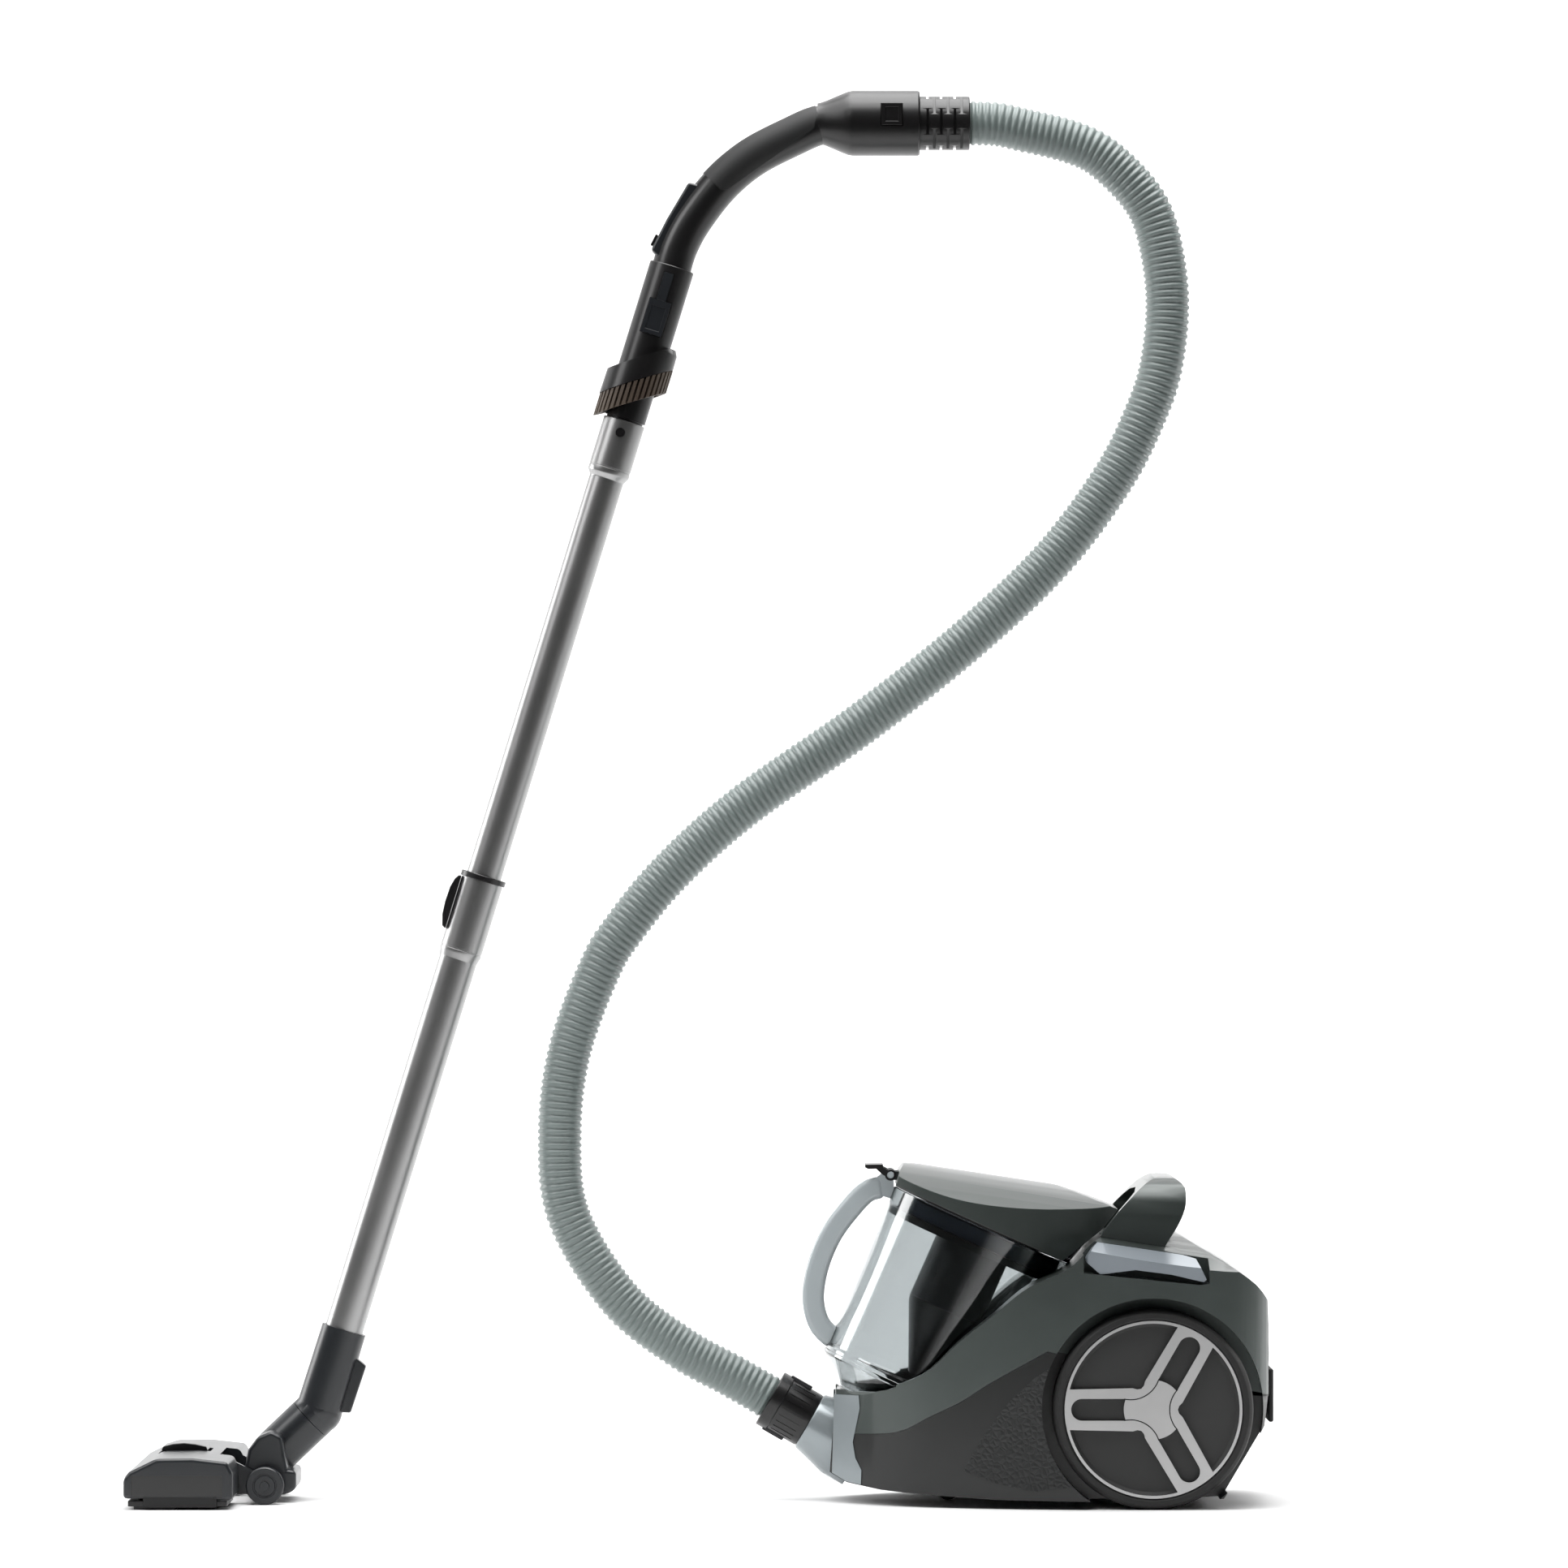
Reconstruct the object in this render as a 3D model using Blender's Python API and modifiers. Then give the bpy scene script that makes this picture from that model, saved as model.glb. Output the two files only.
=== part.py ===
"""Bagless canister vacuum cleaner with hose, handle, telescopic wand and floor head, parked upright.

X runs from the floor head to the canister's rear, Y across, Z up from the floor. Shapes are described
in millimetres and made in metres.
"""

import math

import bmesh
import bpy
from mathutils import Matrix, Vector

MM = 0.001

# Driving dimensions, in millimetres unless the name says otherwise.
FIT = 0.3  # gap left between touching pieces
WALL = 3.0  # housing wall
FACETS = 0.62  # facets of a round shape, as a share of what it asks for
HALF_WIDTH = 142.0  # canister, centre to widest side
HEAD_HALF = 138.0  # floor head, centre to end
HEAD_FRONT = -517.0
REAR = 512.0  # canister's rear wall
WHEEL_R = 90.0
WHEEL_X = 406.7
WELL_GAP = 10.0
WHEEL_IN = 100.0  # wheel's inner side from the centre plane
WHEEL_OUT = 138.0
AXLE_R = 8.0
BIN_R = 88.0
BIN_DEPTH = 160.0
BIN_TILT = math.atan2(0.4067, 0.9135)
BIN_TOP = (256.8, 250.7)
CUFF_LENGTH = 41.0
HOSE_R = 20.3
HOSE_WALL = 2.2
TUBE_R = 17.5  # outer telescopic tube
INNER_R = 16.0  # inner telescopic tube
TUBE_WALL = 1.1
COLLAR_R = 19.3
SLEEVE_R = 20.7
GRIP_R = 18.0
BARREL_R = 29.6
BARREL_Z = 1255.0
WAND_TILT = math.radians(17.16)
WAND_FOOT = (-348.6, 81.2)
NECK_R = 21.2
HEAD_WHEEL_R = 17.0
AXLE_X = -394.0

scene = bpy.context.scene
for old in list(bpy.data.objects):
    bpy.data.objects.remove(old, do_unlink=True)
PARTS = bpy.data.collections.new("canister_vacuum")
CUTTERS = bpy.data.collections.new("cutters")
scene.collection.children.link(PARTS)
scene.collection.children.link(CUTTERS)
CUTTERS.hide_render = True


def frame_at(x, z, along):
    """A frame in the centre plane: local Z along the direction (x, z), local Y across, in metres."""
    up = Vector((along[0], 0, along[1])).normalized()
    side = Vector((up.z, 0, -up.x))
    turn = Matrix((side, Vector((0, 1, 0)), up)).transposed().to_4x4()
    return Matrix.Translation((x * MM, 0, z * MM)) @ turn


WORLD = Matrix.Identity(4)
UP = (math.sin(WAND_TILT), math.cos(WAND_TILT))
WAND = frame_at(*WAND_FOOT, UP)
BIN = frame_at(*BIN_TOP, (math.sin(BIN_TILT), math.cos(BIN_TILT)))
INLET = frame_at(98.4, 72.3, (-0.867, 0.498))
NECK = frame_at(-356.7, 73.6, (0.726, 0.688))
BARREL = frame_at(0, BARREL_Z, (1, 0))
ACROSS = Matrix(((1, 0, 0, 0), (0, 0, 1, 0), (0, -1, 0, 0), (0, 0, 0, 1)))  # local Z along +Y


def across_at(x, z):
    """A frame whose local Z runs along +Y, through (x, z)."""
    return Matrix.Translation((x * MM, 0, z * MM)) @ ACROSS


def keep(name, work, frame=WORLD):
    """A mesh object from a bmesh, welded, faces outward, hidden among the cutters until it is finished."""
    bmesh.ops.transform(work, matrix=frame, verts=work.verts)
    bmesh.ops.remove_doubles(work, verts=work.verts, dist=2e-6)
    bmesh.ops.dissolve_degenerate(work, edges=work.edges, dist=1e-7)
    bmesh.ops.recalc_face_normals(work, faces=work.faces)
    if work.calc_volume(signed=True) < 0:
        bmesh.ops.reverse_faces(work, faces=work.faces)
    mesh = bpy.data.meshes.new(name)
    work.to_mesh(mesh)
    work.free()
    obj = bpy.data.objects.new(name, mesh)
    CUTTERS.objects.link(obj)
    obj.hide_render = True
    obj.display_type = "WIRE"
    return obj


def bake(obj):
    """Turns an object's evaluated shape, modifiers included, into its own mesh."""
    bpy.context.view_layer.update()
    graph = bpy.context.evaluated_depsgraph_get()
    mesh = bpy.data.meshes.new_from_object(obj.evaluated_get(graph))
    work = bmesh.new()
    work.from_mesh(mesh)
    name, frame = obj.name, obj.matrix_world.copy()
    bpy.data.objects.remove(obj, do_unlink=True)
    return keep(name, work, frame)


def mirrored(obj):
    """A copy of a baked object on the other side of the centre plane."""
    work = bmesh.new()
    work.from_mesh(obj.data)
    return keep(obj.name + "_mirror", work, Matrix.Diagonal((1, -1, 1, 1)))


def box(x0, x1, y0, y1, z0, z1, frame=WORLD, name="box"):
    work = bmesh.new()
    bmesh.ops.create_cube(work, size=1)
    size = Matrix.Diagonal(((x1 - x0) * MM, (y1 - y0) * MM, (z1 - z0) * MM, 1))
    middle = Matrix.Translation(((x0 + x1) / 2 * MM, (y0 + y1) / 2 * MM, (z0 + z1) / 2 * MM))
    return keep(name, work, frame @ middle @ size)


def rod(r0, z0, z1, frame=WORLD, r1=None, sides=32, at=(0, 0), name="rod"):
    """A cylinder or cone along the frame's local Z."""
    work = bmesh.new()
    sides = max(10, 2 * round(sides * FACETS / 2))
    top = r0 if r1 is None else r1
    depth = (z1 - z0) * MM
    bmesh.ops.create_cone(work, cap_ends=True, segments=sides, radius1=r0 * MM, radius2=top * MM, depth=depth)
    return keep(name, work, frame @ Matrix.Translation((at[0] * MM, at[1] * MM, (z0 + z1) / 2 * MM)))


def ball(r, x, y, z, sides=24, name="ball"):
    work = bmesh.new()
    sides = max(12, 2 * round(sides * FACETS / 2))
    bmesh.ops.create_uvsphere(work, u_segments=sides, v_segments=sides // 2, radius=r * MM)
    return keep(name, work, Matrix.Translation((x * MM, y * MM, z * MM)))


def turned(profile, frame=WORLD, steps=40, name="turned"):
    """A closed outline of (radius, height) turned about the frame's local Z with a Screw modifier."""
    steps = max(12, 2 * round(steps * FACETS / 2))
    mesh = bpy.data.meshes.new(name)
    points = [(r * MM, 0, h * MM) for r, h in profile]
    count = len(points)
    edges = [(i, (i + 1) % count) for i in range(count)]
    if profile[0][0] == 0 and profile[-1][0] == 0:
        edges.pop()
    mesh.from_pydata(points, edges, [])
    obj = bpy.data.objects.new(name, mesh)
    CUTTERS.objects.link(obj)
    screw = obj.modifiers.new("Turn", "SCREW")
    screw.steps = steps
    screw.render_steps = steps
    screw.use_merge_vertices = True
    screw.merge_threshold = 1e-5
    screw.use_smooth_shade = False
    obj.matrix_world = frame
    return bake(obj)


def slab(outline, low, high, plane="XZ", bevel=0.0, name="slab"):
    """A flat outline made thick with a filled 2D curve: XZ is thick along Y, XY along Z, YZ along X."""
    curve = bpy.data.curves.new(name, "CURVE")
    curve.dimensions = "2D"
    curve.fill_mode = "BOTH"
    curve.extrude = (high - low) / 2 * MM
    spline = curve.splines.new("POLY")
    spline.points.add(len(outline) - 1)
    for point, (a, b) in zip(spline.points, outline):
        point.co = (a * MM, b * MM, 0, 1)
    spline.use_cyclic_u = True
    obj = bpy.data.objects.new(name, curve)
    CUTTERS.objects.link(obj)
    middle = (low + high) / 2 * MM
    turn = {
        "XZ": Matrix(((1, 0, 0, 0), (0, 0, -1, middle), (0, 1, 0, 0), (0, 0, 0, 1))),
        "XY": Matrix(((1, 0, 0, 0), (0, 1, 0, 0), (0, 0, 1, middle), (0, 0, 0, 1))),
        "YZ": Matrix(((0, 0, 1, middle), (1, 0, 0, 0), (0, 1, 0, 0), (0, 0, 0, 1))),
    }
    obj.matrix_world = turn[plane]
    solid = bake(obj)
    if bevel:
        rim = solid.modifiers.new("Edge", "BEVEL")
        rim.width = bevel * MM
        rim.segments = 2
        rim.limit_method = "ANGLE"
        rim.angle_limit = math.radians(60)
    return solid


def plan(pairs, low=-50, high=400, name="plan"):
    """A plan outline mirrored about the centre plane, from (x, half width) pairs, thick along Z."""
    outline = [(x, -w) for x, w in pairs] + [(x, w) for x, w in reversed(pairs)]
    return slab(outline, low, high, "XY", name=name)


def swept(path, radius, wall=0.0, sides=20, name="swept"):
    """A round bar along a path of (x, z) points, or a tube open at both ends if it has a wall."""
    curve = bpy.data.curves.new(name, "CURVE")
    curve.dimensions = "3D"
    curve.bevel_depth = radius * MM
    curve.bevel_resolution = sides // 4 - 2
    curve.use_fill_caps = wall == 0
    spline = curve.splines.new("POLY")
    spline.points.add(len(path) - 1)
    for point, (x, z) in zip(spline.points, path):
        point.co = (x * MM, 0, z * MM, 1)
    obj = bpy.data.objects.new(name, curve)
    CUTTERS.objects.link(obj)
    tube = bake(obj)
    if wall:
        skin = tube.modifiers.new("Wall", "SOLIDIFY")
        skin.thickness = wall * MM
        skin.offset = -1
        skin.use_rim = True
        skin.use_even_offset = False
        return bake(tube)
    return tube


def boolean(obj, other, operation):
    step = obj.modifiers.new(operation.title(), "BOOLEAN")
    step.operation = operation
    step.solver = "EXACT"
    step.object = other
    return obj


def cut(obj, *others):
    for other in others:
        boolean(obj, other, "DIFFERENCE")
    return obj


def join(obj, *others):
    for other in others:
        boolean(obj, other, "UNION")
    return obj


def meet(obj, other):
    return boolean(obj, other, "INTERSECT")


def curve_through(points, spacing):
    """Evenly spaced points on a smooth curve through the given ones."""
    ends = [points[0]] + list(points) + [points[-1]]
    fine = []
    for a, b, c, d in zip(ends, ends[1:], ends[2:], ends[3:]):
        for k in range(24):
            t = k / 24
            fine.append(
                tuple(
                    0.5 * (2 * q + (r - p) * t + (2 * p - 5 * q + 4 * r - s) * t * t + (3 * q - p - 3 * r + s) * t**3)
                    for p, q, r, s in zip(a, b, c, d)
                )
            )
    fine.append(tuple(points[-1]))
    lengths = [0.0]
    for a, b in zip(fine, fine[1:]):
        lengths.append(lengths[-1] + math.dist(a, b))
    count = max(2, round(lengths[-1] / spacing))
    spaced = []
    at = 0
    for k in range(count + 1):
        goal = lengths[-1] * k / count
        while at < len(fine) - 2 and lengths[at + 1] < goal:
            at += 1
        part = (goal - lengths[at]) / max(lengths[at + 1] - lengths[at], 1e-9)
        spaced.append(tuple(p + (q - p) * min(part, 1) for p, q in zip(fine[at], fine[at + 1])))
    return spaced


def material(name, colour, roughness, metallic=0.0, alpha=1.0):
    made = bpy.data.materials.get(name) or bpy.data.materials.new(name)
    made.use_nodes = True
    shader = made.node_tree.nodes["Principled BSDF"]
    linear = [((c / 255 + 0.055) / 1.055) ** 2.4 if c > 10 else c / 255 / 12.92 for c in colour]
    shader.inputs["Base Color"].default_value = (*linear, 1)
    shader.inputs["Roughness"].default_value = roughness
    shader.inputs["Metallic"].default_value = metallic
    shader.inputs["Alpha"].default_value = alpha
    made.diffuse_color = (*linear, alpha)
    return made


def finish(name, obj, colour, roughness=0.5, metallic=0.0, alpha=1.0, pivot=None):
    """Bakes the shape, names it, gives it its material and puts its origin on its joint axis."""
    done = bake(obj)
    done.name = name
    done.data.name = name
    CUTTERS.objects.unlink(done)
    PARTS.objects.link(done)
    done.hide_render = False
    done.display_type = "TEXTURED"
    done.data.materials.clear()
    done.data.materials.append(material(name, colour, roughness, metallic, alpha))
    if pivot:
        place = Vector([c * MM for c in pivot])
        done.data.transform(Matrix.Translation(-place))
        done.location = place
    return done


BLACK = (30, 31, 32)
DARK = (50, 53, 53)
GREY = (155, 160, 158)
SILVER = (196, 200, 199)
STEEL = (150, 155, 158)

# ---------------------------------------------------------------- canister housing
RAIL = [(122.6, 103.1), (161.3, 103.8), (174.9, 109.1), (204.5, 122.5), (234.4, 150.7)]
RAIL += [(264.3, 174.5), (294, 198.6), (330.6, 216.1), (357.5, 241.3)]
DECK = [(385, 245.5), (421.1, 248.6), (434, 243), (455, 231), (475.7, 218.8), (499.8, 201.3)]
DECK += [(REAR - 1, 187), (REAR, 164), (REAR, 100.3)]
SEAM = [(500, 100.3), (311.7, 142), (260.6, 113), (235.6, 96.6), (206, 81.7), (176.1, 67), (122.6, 63.1)]
TUB_TOP = [(x, z - FIT) for x, z in reversed(SEAM)]
TUB_FLOOR = [(REAR - 0.5, 100), (508, 74), (470, 10), (430, 7.6), (330, 7.6), (263.4, 8.5), (192.8, 12.3)]
TUB_FLOOR += [(162.6, 14.5), (132.4, 19.2), (117, 27.4)]
WIDTHS = [(112, 30), (120, 38), (135, 54), (160, 79), (190, 100), (220, 113), (260, 125), (300, 133)]
WIDTHS += [(350, 139), (400, 142), (450, 139), (480, 132), (500, 118), (512, 98)]
OUTER = [(x, w / 142 * HALF_WIDTH) for x, w in WIDTHS]
BODY_IN = WHEEL_IN - 3 - WALL
INNER = [(x, min(w - WALL, BODY_IN) if x > 295 else w - WALL) for x, w in OUTER[1:-1]]
INNER.insert(6, (296, BODY_IN))
INNER.append((REAR + 3, 86))


def bin_solid(extra):
    r, h = BIN_R + extra, -BIN_DEPTH
    return [(0, 30), (r, 30), (r, 0), (r, h - 4), (65 + extra, h - 27 - extra), (0, h - 27 - extra)]


def bin_pocket(extra, slide):
    """The bin's own shape enlarged, and stretched along the way it lifts out."""
    base = turned(bin_solid(extra), BIN, 48)
    work = bmesh.new()
    away = Vector((-0.45, 0, 0.893)).normalized() * slide * MM
    for lift in {0, 1 if slide else 0}:
        for vertex in base.data.vertices:
            work.verts.new(vertex.co + away * lift)
    bmesh.ops.convex_hull(work, input=work.verts)
    bmesh.ops.delete(work, geom=[v for v in work.verts if not v.link_faces], context="VERTS")
    bpy.data.objects.remove(base, do_unlink=True)
    return keep("bin_pocket", work)


def wheel_wells():
    hole = WHEEL_R + WELL_GAP
    left = rod(hole, -170, -WHEEL_IN + 3, across_at(WHEEL_X, WHEEL_R), sides=64)
    right = rod(hole, WHEEL_IN - 3, 170, across_at(WHEEL_X, WHEEL_R), sides=64)
    return [left, right]


def duct_room():
    return rod(27.5, -56, 1, INLET, sides=40, r1=27.5)


DUCT_ROOM = [(0, 8), (27.5, 8), (27.5, 0), (37, -34), (37, -56), (0, -56)]
SHELL_IN = [(124, 40), (127, 99.5), (158, 100.3), (174, 105.7), (203, 119), (233, 147), (263, 171)]
SHELL_IN += [(293, 195), (330, 212.5), (356, 237), (385, 242), (420, 245), (432, 239), (453, 227.5)]
SHELL_IN += [(474, 215), (496, 199), (REAR - 4, 185), (REAR - 3.3, 164), (REAR - 3.3, 40)]

shell = slab(RAIL + DECK + SEAM, -150, 150, name="shell")
UNDER_RAIL = [(124, 66)] + [(x + 1.2, z - 1.4) for x, z in RAIL]
cradle = slab(UNDER_RAIL + [(355, 150), (300, 60), (240, 36), (205, 40), (178, 64)], -89, 89)
meet(cradle, bin_pocket(4.4, 0))
meet(shell, plan(OUTER))
room = slab(SHELL_IN, -150, 150)
meet(room, plan(INNER))
cut(room, bin_pocket(4.6, 0))
cut(shell, bake(room))
shell = bake(shell)
join(shell, bake(cradle))
shell = bake(shell)
cut(shell, bin_pocket(1.5, 90), *wheel_wells(), turned(DUCT_ROOM, INLET, 40))
shell = bake(shell)
PEDAL_ROOM = [(342.5, 262), (342.5, 201.5), (460, 199), (460, 262)]
for side in (-1, 1):
    near, far = sorted((side * 104, side * 170))
    cut(shell, slab(PEDAL_ROOM, near, far))
    near, far = sorted((side * 98.8, side * 105))
    cut(shell, rod(2.3, near, far, across_at(450, 208), sides=16))
cut(shell, box(500, 530, -60, 60, 148, 182), rod(6.3, 480, 530, frame_at(0, 136, (1, 0)), at=(0, -50), sides=20))
finish("upper_shell", shell, GREY, 0.4)

tub = slab(TUB_TOP + TUB_FLOOR, -150, 150, name="tub")
meet(tub, plan(OUTER))
TUB_IN = [(124, 180), (124, 30.5), (134, 22.5), (163, 17.6), (193, 15.4), (263.4, 11.6), (330, 10.7), (430, 10.7)]
TUB_IN += [(468, 13), (504.5, 75), (REAR - 3.6, 100), (REAR - 3.6, 180)]
tub_room = slab(TUB_IN, -150, 150)
meet(tub_room, plan(INNER))
cut(tub, tub_room)
join(tub, rod(37, 11, 34, across_at(0, 0) @ ACROSS.inverted(), at=(205, 0), sides=36))
join(tub, rod(8, 33, 48, WORLD, at=(205, 0), sides=24))
cut(tub, rod(34, 0, 31, WORLD, at=(205, 0), sides=36), rod(4.3, 30, 60, WORLD, at=(205, 0), sides=20))
cut(tub, *wheel_wells(), turned(DUCT_ROOM, INLET, 40))
join(tub, rod(AXLE_R, -134, -90, across_at(WHEEL_X, WHEEL_R), sides=28))
join(tub, rod(AXLE_R, 90, 134, across_at(WHEEL_X, WHEEL_R), sides=28))
finish("base_tub", tub, (22, 22, 22), 0.6)

duct = turned([(27, -0.3), (27.1, -1), (36, -33), (36, -55), (32.5, -55), (32.5, -34), (19, -24), (19, -0.3)], INLET)
finish("inlet_duct", duct, (229, 233, 235), 0.3)

bumper = box(REAR + FIT, 517, -88, 88, 76, 124)
rim = bumper.modifiers.new("Edge", "BEVEL")
rim.width = 1.5 * MM
rim.segments = 2
finish("rear_bumper", bumper, BLACK, 0.8)

grille = box(505.3, REAR - 0.5, -59.7, 59.7, 148.3, 181.7)
for k in range(11):
    y = -50 + 10 * k
    cut(grille, box(500, 520, y - 3, y + 3, 152, 178))
finish("exhaust_grille", grille, BLACK, 0.6)
finish("exhaust_filter", box(481, 496, -55, 55, 149, 191), (235, 235, 228), 0.9)

ARCH_STEPS = 18
work = bmesh.new()
rings = []
for k in range(ARCH_STEPS + 1):
    turn = math.pi * k / ARCH_STEPS
    rise = math.sin(turn) ** 0.8
    centre = Vector((395 + 29 * rise, -90 * math.cos(turn) * (1 - 0.12 * rise), 234 + 52 * rise))
    out = Vector((0.12, -math.cos(turn) * 0.75, max(math.sin(turn), 0.02))).normalized()
    half = 36 - 20 * rise
    thick = 6.2
    lean = Vector((1, 0, 0.55 * rise)).normalized()
    corner = []
    for a, b in ((-1, -0.5), (-0.75, -1), (0.75, -1), (1, -0.5), (1, 0.5), (0.7, 1), (-0.7, 1), (-1, 0.5)):
        corner.append(work.verts.new((centre + lean * a * half + out * b * thick) * MM))
    rings.append(corner)
for first, second in zip(rings, rings[1:]):
    for i in range(8):
        work.faces.new((first[i], first[(i + 1) % 8], second[(i + 1) % 8], second[i]))
work.faces.new(rings[0])
work.faces.new(rings[-1])
arch = keep("arch", work)
DECK_CUT = [(x, z + FIT) for x, z in RAIL[-3:] + DECK[:7]] + [(515, 100), (294, 100)]
cut(arch, slab(DECK_CUT, -150, 150))
finish("carry_handle", arch, DARK, 0.45)

MOTOR = across_at(352, 76)
finish("motor_casing", turned([(50, 80), (50, -10), (46, -10), (46, 76), (8, 76), (8, 80)], MOTOR, 36), DARK)
wheel_fan = turned([(41, 4), (41, -4), (0, -4), (0, 30), (6, 30), (6, 4)], MOTOR, 30)
finish("impeller", wheel_fan, STEEL, 0.3, 1.0, pivot=(352, 0, 76))
REEL = across_at(440, 88)
reel = [(58, -25), (58, -28), (30, -28), (30, -72), (58, -72), (58, -75), (6.4, -75), (6.4, -25)]
finish("cord_reel", turned(reel, REEL, 36), BLACK, pivot=(440, 0, 88))
spindle = rod(6, -93.7, -20, REEL, sides=24)
finish("reel_spindle", join(spindle, rod(14, -93.7, -75.5, REEL, sides=24)), STEEL, 0.3, 1.0)
outlet_frame = Matrix.Translation((0, -50 * MM, 0)) @ frame_at(0, 136, (1, 0))
outlet = [(9, REAR + 2.5), (9, REAR + FIT), (6, REAR + FIT), (6, REAR - 8), (4, REAR - 8), (4, REAR + 2.5)]
finish("cord_outlet", turned(outlet, outlet_frame, 24), BLACK)
finish("circuit_board", box(400, 455, 20, 80, 163, 165), (30, 90, 50))

# ---------------------------------------------------------------- wheels and caster
for side, name in ((-1, "left"), (1, "right")):
    W = across_at(WHEEL_X, WHEEL_R)

    def across(profile, side=side):
        return [(r, side * y) for r, y in profile]

    tread = [(WHEEL_R, 134), (WHEEL_R, 104), (87, WHEEL_IN), (80.3, WHEEL_IN), (80.3, WHEEL_OUT), (86, WHEEL_OUT)]
    finish(f"tyre_{name}", turned(across(tread), W, 64), (29, 29, 29), 0.85, pivot=(WHEEL_X, 0, WHEEL_R))
    face = [(80, 135.7), (80, 102), (74, 102), (72, 122), (16, 122), (14, 100), (8.2, 100), (8.2, 135.7)]
    finish(f"wheel_hub_{name}", turned(across(face), W, 48), (56, 56, 56), 0.5, pivot=(WHEEL_X, 0, WHEEL_R))

plate = turned([(79.7, -WHEEL_OUT), (79.7, -136), (0, -136), (0, -WHEEL_OUT)], W, 48)
SECTOR = [(36, -8), (36, 8)]
for j in range(9):
    a = math.radians(43 - 86 * j / 8)
    SECTOR.append((77.2 * math.cos(a), 77.2 * math.sin(a)))
for k in range(3):
    turn = W @ Matrix.Rotation(math.radians(120 * k), 4, "Z")
    work = bmesh.new()
    bottom = [work.verts.new((x * MM, y * MM, -145 * MM)) for x, y in SECTOR]
    upper = [work.verts.new((x * MM, y * MM, -130 * MM)) for x, y in SECTOR]
    work.faces.new(bottom)
    work.faces.new(upper)
    for i in range(len(SECTOR)):
        j = (i + 1) % len(SECTOR)
        work.faces.new((bottom[i], bottom[j], upper[j], upper[i]))
    cut(plate, keep("window", work, turn))
    slot_turn = W @ Matrix.Rotation(math.radians(60 + 120 * k), 4, "Z")
    cut(plate, box(26, 74, -9.8, 9.8, -145, -130, slot_turn))
plate = bake(plate)
finish("wheel_trim_right", mirrored(plate), SILVER, 0.25, 0.8, pivot=(WHEEL_X, 0, WHEEL_R))
finish("wheel_trim_left", plate, SILVER, 0.25, 0.8, pivot=(WHEEL_X, 0, WHEEL_R))

DOME = [(0, 30.4), (33, 30.4), (33, 27), (30, 17), (25, 10), (16, 6.6), (0, 5.9)]
SPOT = Matrix.Translation((205 * MM, 0, 0))
fork = turned(DOME, SPOT, 32)
cut(fork, box(213.5, 241, -6.6, 6.6, 0, 22))
join(fork, rod(4, 29, 47, SPOT, sides=20), rod(2.5, -9, 9, across_at(225, 10), sides=16))
finish("caster_fork", fork, BLACK, 0.5, pivot=(205, 0, 20))
roller = turned([(10, 5), (10, -5), (2.8, -6), (2.8, 6)], across_at(225, 10), 28)
finish("caster_wheel", roller, (40, 40, 40), 0.7, pivot=(225, 0, 10))

PEDAL = [(346.4, 225.6), (359.1, 238.9), (387.5, 235), (422.3, 228.6), (446, 223.2), (454.5, 206.6)]
PEDAL += [(452, 204.3), (422.3, 211.3), (390.4, 215.4), (359.1, 211.3), (346.4, 222.4)]
PEDAL_WIDTHS = [(340, 120), (346, 134), (360, 137.5), (400, 140.5), (440, 138.5), (460, 134)]
pedal = slab(PEDAL, -141, -106, bevel=1.2)
meet(pedal, plan(PEDAL_WIDTHS))
join(pedal, rod(2, -112, -99.5, across_at(450, 208), sides=16))
pedal = bake(pedal)
finish("rewind_pedal", mirrored(pedal), (173, 181, 187), 0.4, pivot=(450, 120, 208))
finish("power_pedal", pedal, (173, 181, 187), 0.4, pivot=(450, -120, 208))

# ---------------------------------------------------------------- dust bin
CUP = [(BIN_R, -0.3), (84.8, -155), (86.5, -157), (86.5, -159.7), (82, -159.7), (82, -150), (BIN_R - 2.5, -0.3)]
finish("bin_cup", turned(CUP, BIN, 56), (200, 205, 208), 0.1, alpha=0.35)
BASE = [(86.5, -160), (86.5, -163), (63, -187), (0, -187), (0, -184.4), (62, -184.4), (82, -163), (82, -160)]
finish("bin_base", turned(BASE, BIN, 56), (200, 205, 208), 0.1, alpha=0.35)
CLEAR = [(0, 12), (BIN_R + 0.3, 12), (BIN_R + 0.3, 0), (85.1, -155), (86.8, -157), (86.8, -164), (0, -164)]
GRIP = [(166, 285), (152, 281.5), (138, 268), (119.1, 242.7), (106.6, 213.1), (102.1, 183.5), (108, 160), (122, 146)]
grip_path = curve_through(GRIP, 12)
grip = []
for a, b, c in zip([grip_path[0]] + grip_path, grip_path, grip_path[1:] + [grip_path[-1]]):
    grip.append((b, Vector((c[1] - a[1], -(c[0] - a[0]))).normalized()))
outline = [(p[0] + n.x * 10, p[1] + n.y * 10) for p, n in grip]
outline += [(p[0] - n.x * 10, p[1] - n.y * 10) for p, n in reversed(grip)]
handle = slab(outline, -13.5, 13.5, bevel=4)
PIN = across_at(172.4, 296.7)
join(handle, slab([(156, 280), (156, 291), (169, 301), (175, 299), (175.6, 284), (172, 275)], -12.4, 12.4))
cut(handle, turned([(0, 2), (BIN_R + 0.3, 2)] + CLEAR[2:], BIN, 56))
join(handle, rod(3, -24, 24, PIN, sides=20))
finish("bin_handle", handle, (187, 194, 194), 0.35)
plate = turned([(84.6, -17.3), (84.4, -23.7), (31, -23.7), (31, -17.3)], BIN, 40)
finish("separator_plate", plate, DARK)
screen = turned([(35, -24), (35, -84), (33, -84), (33, -24)], BIN, 32)
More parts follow.
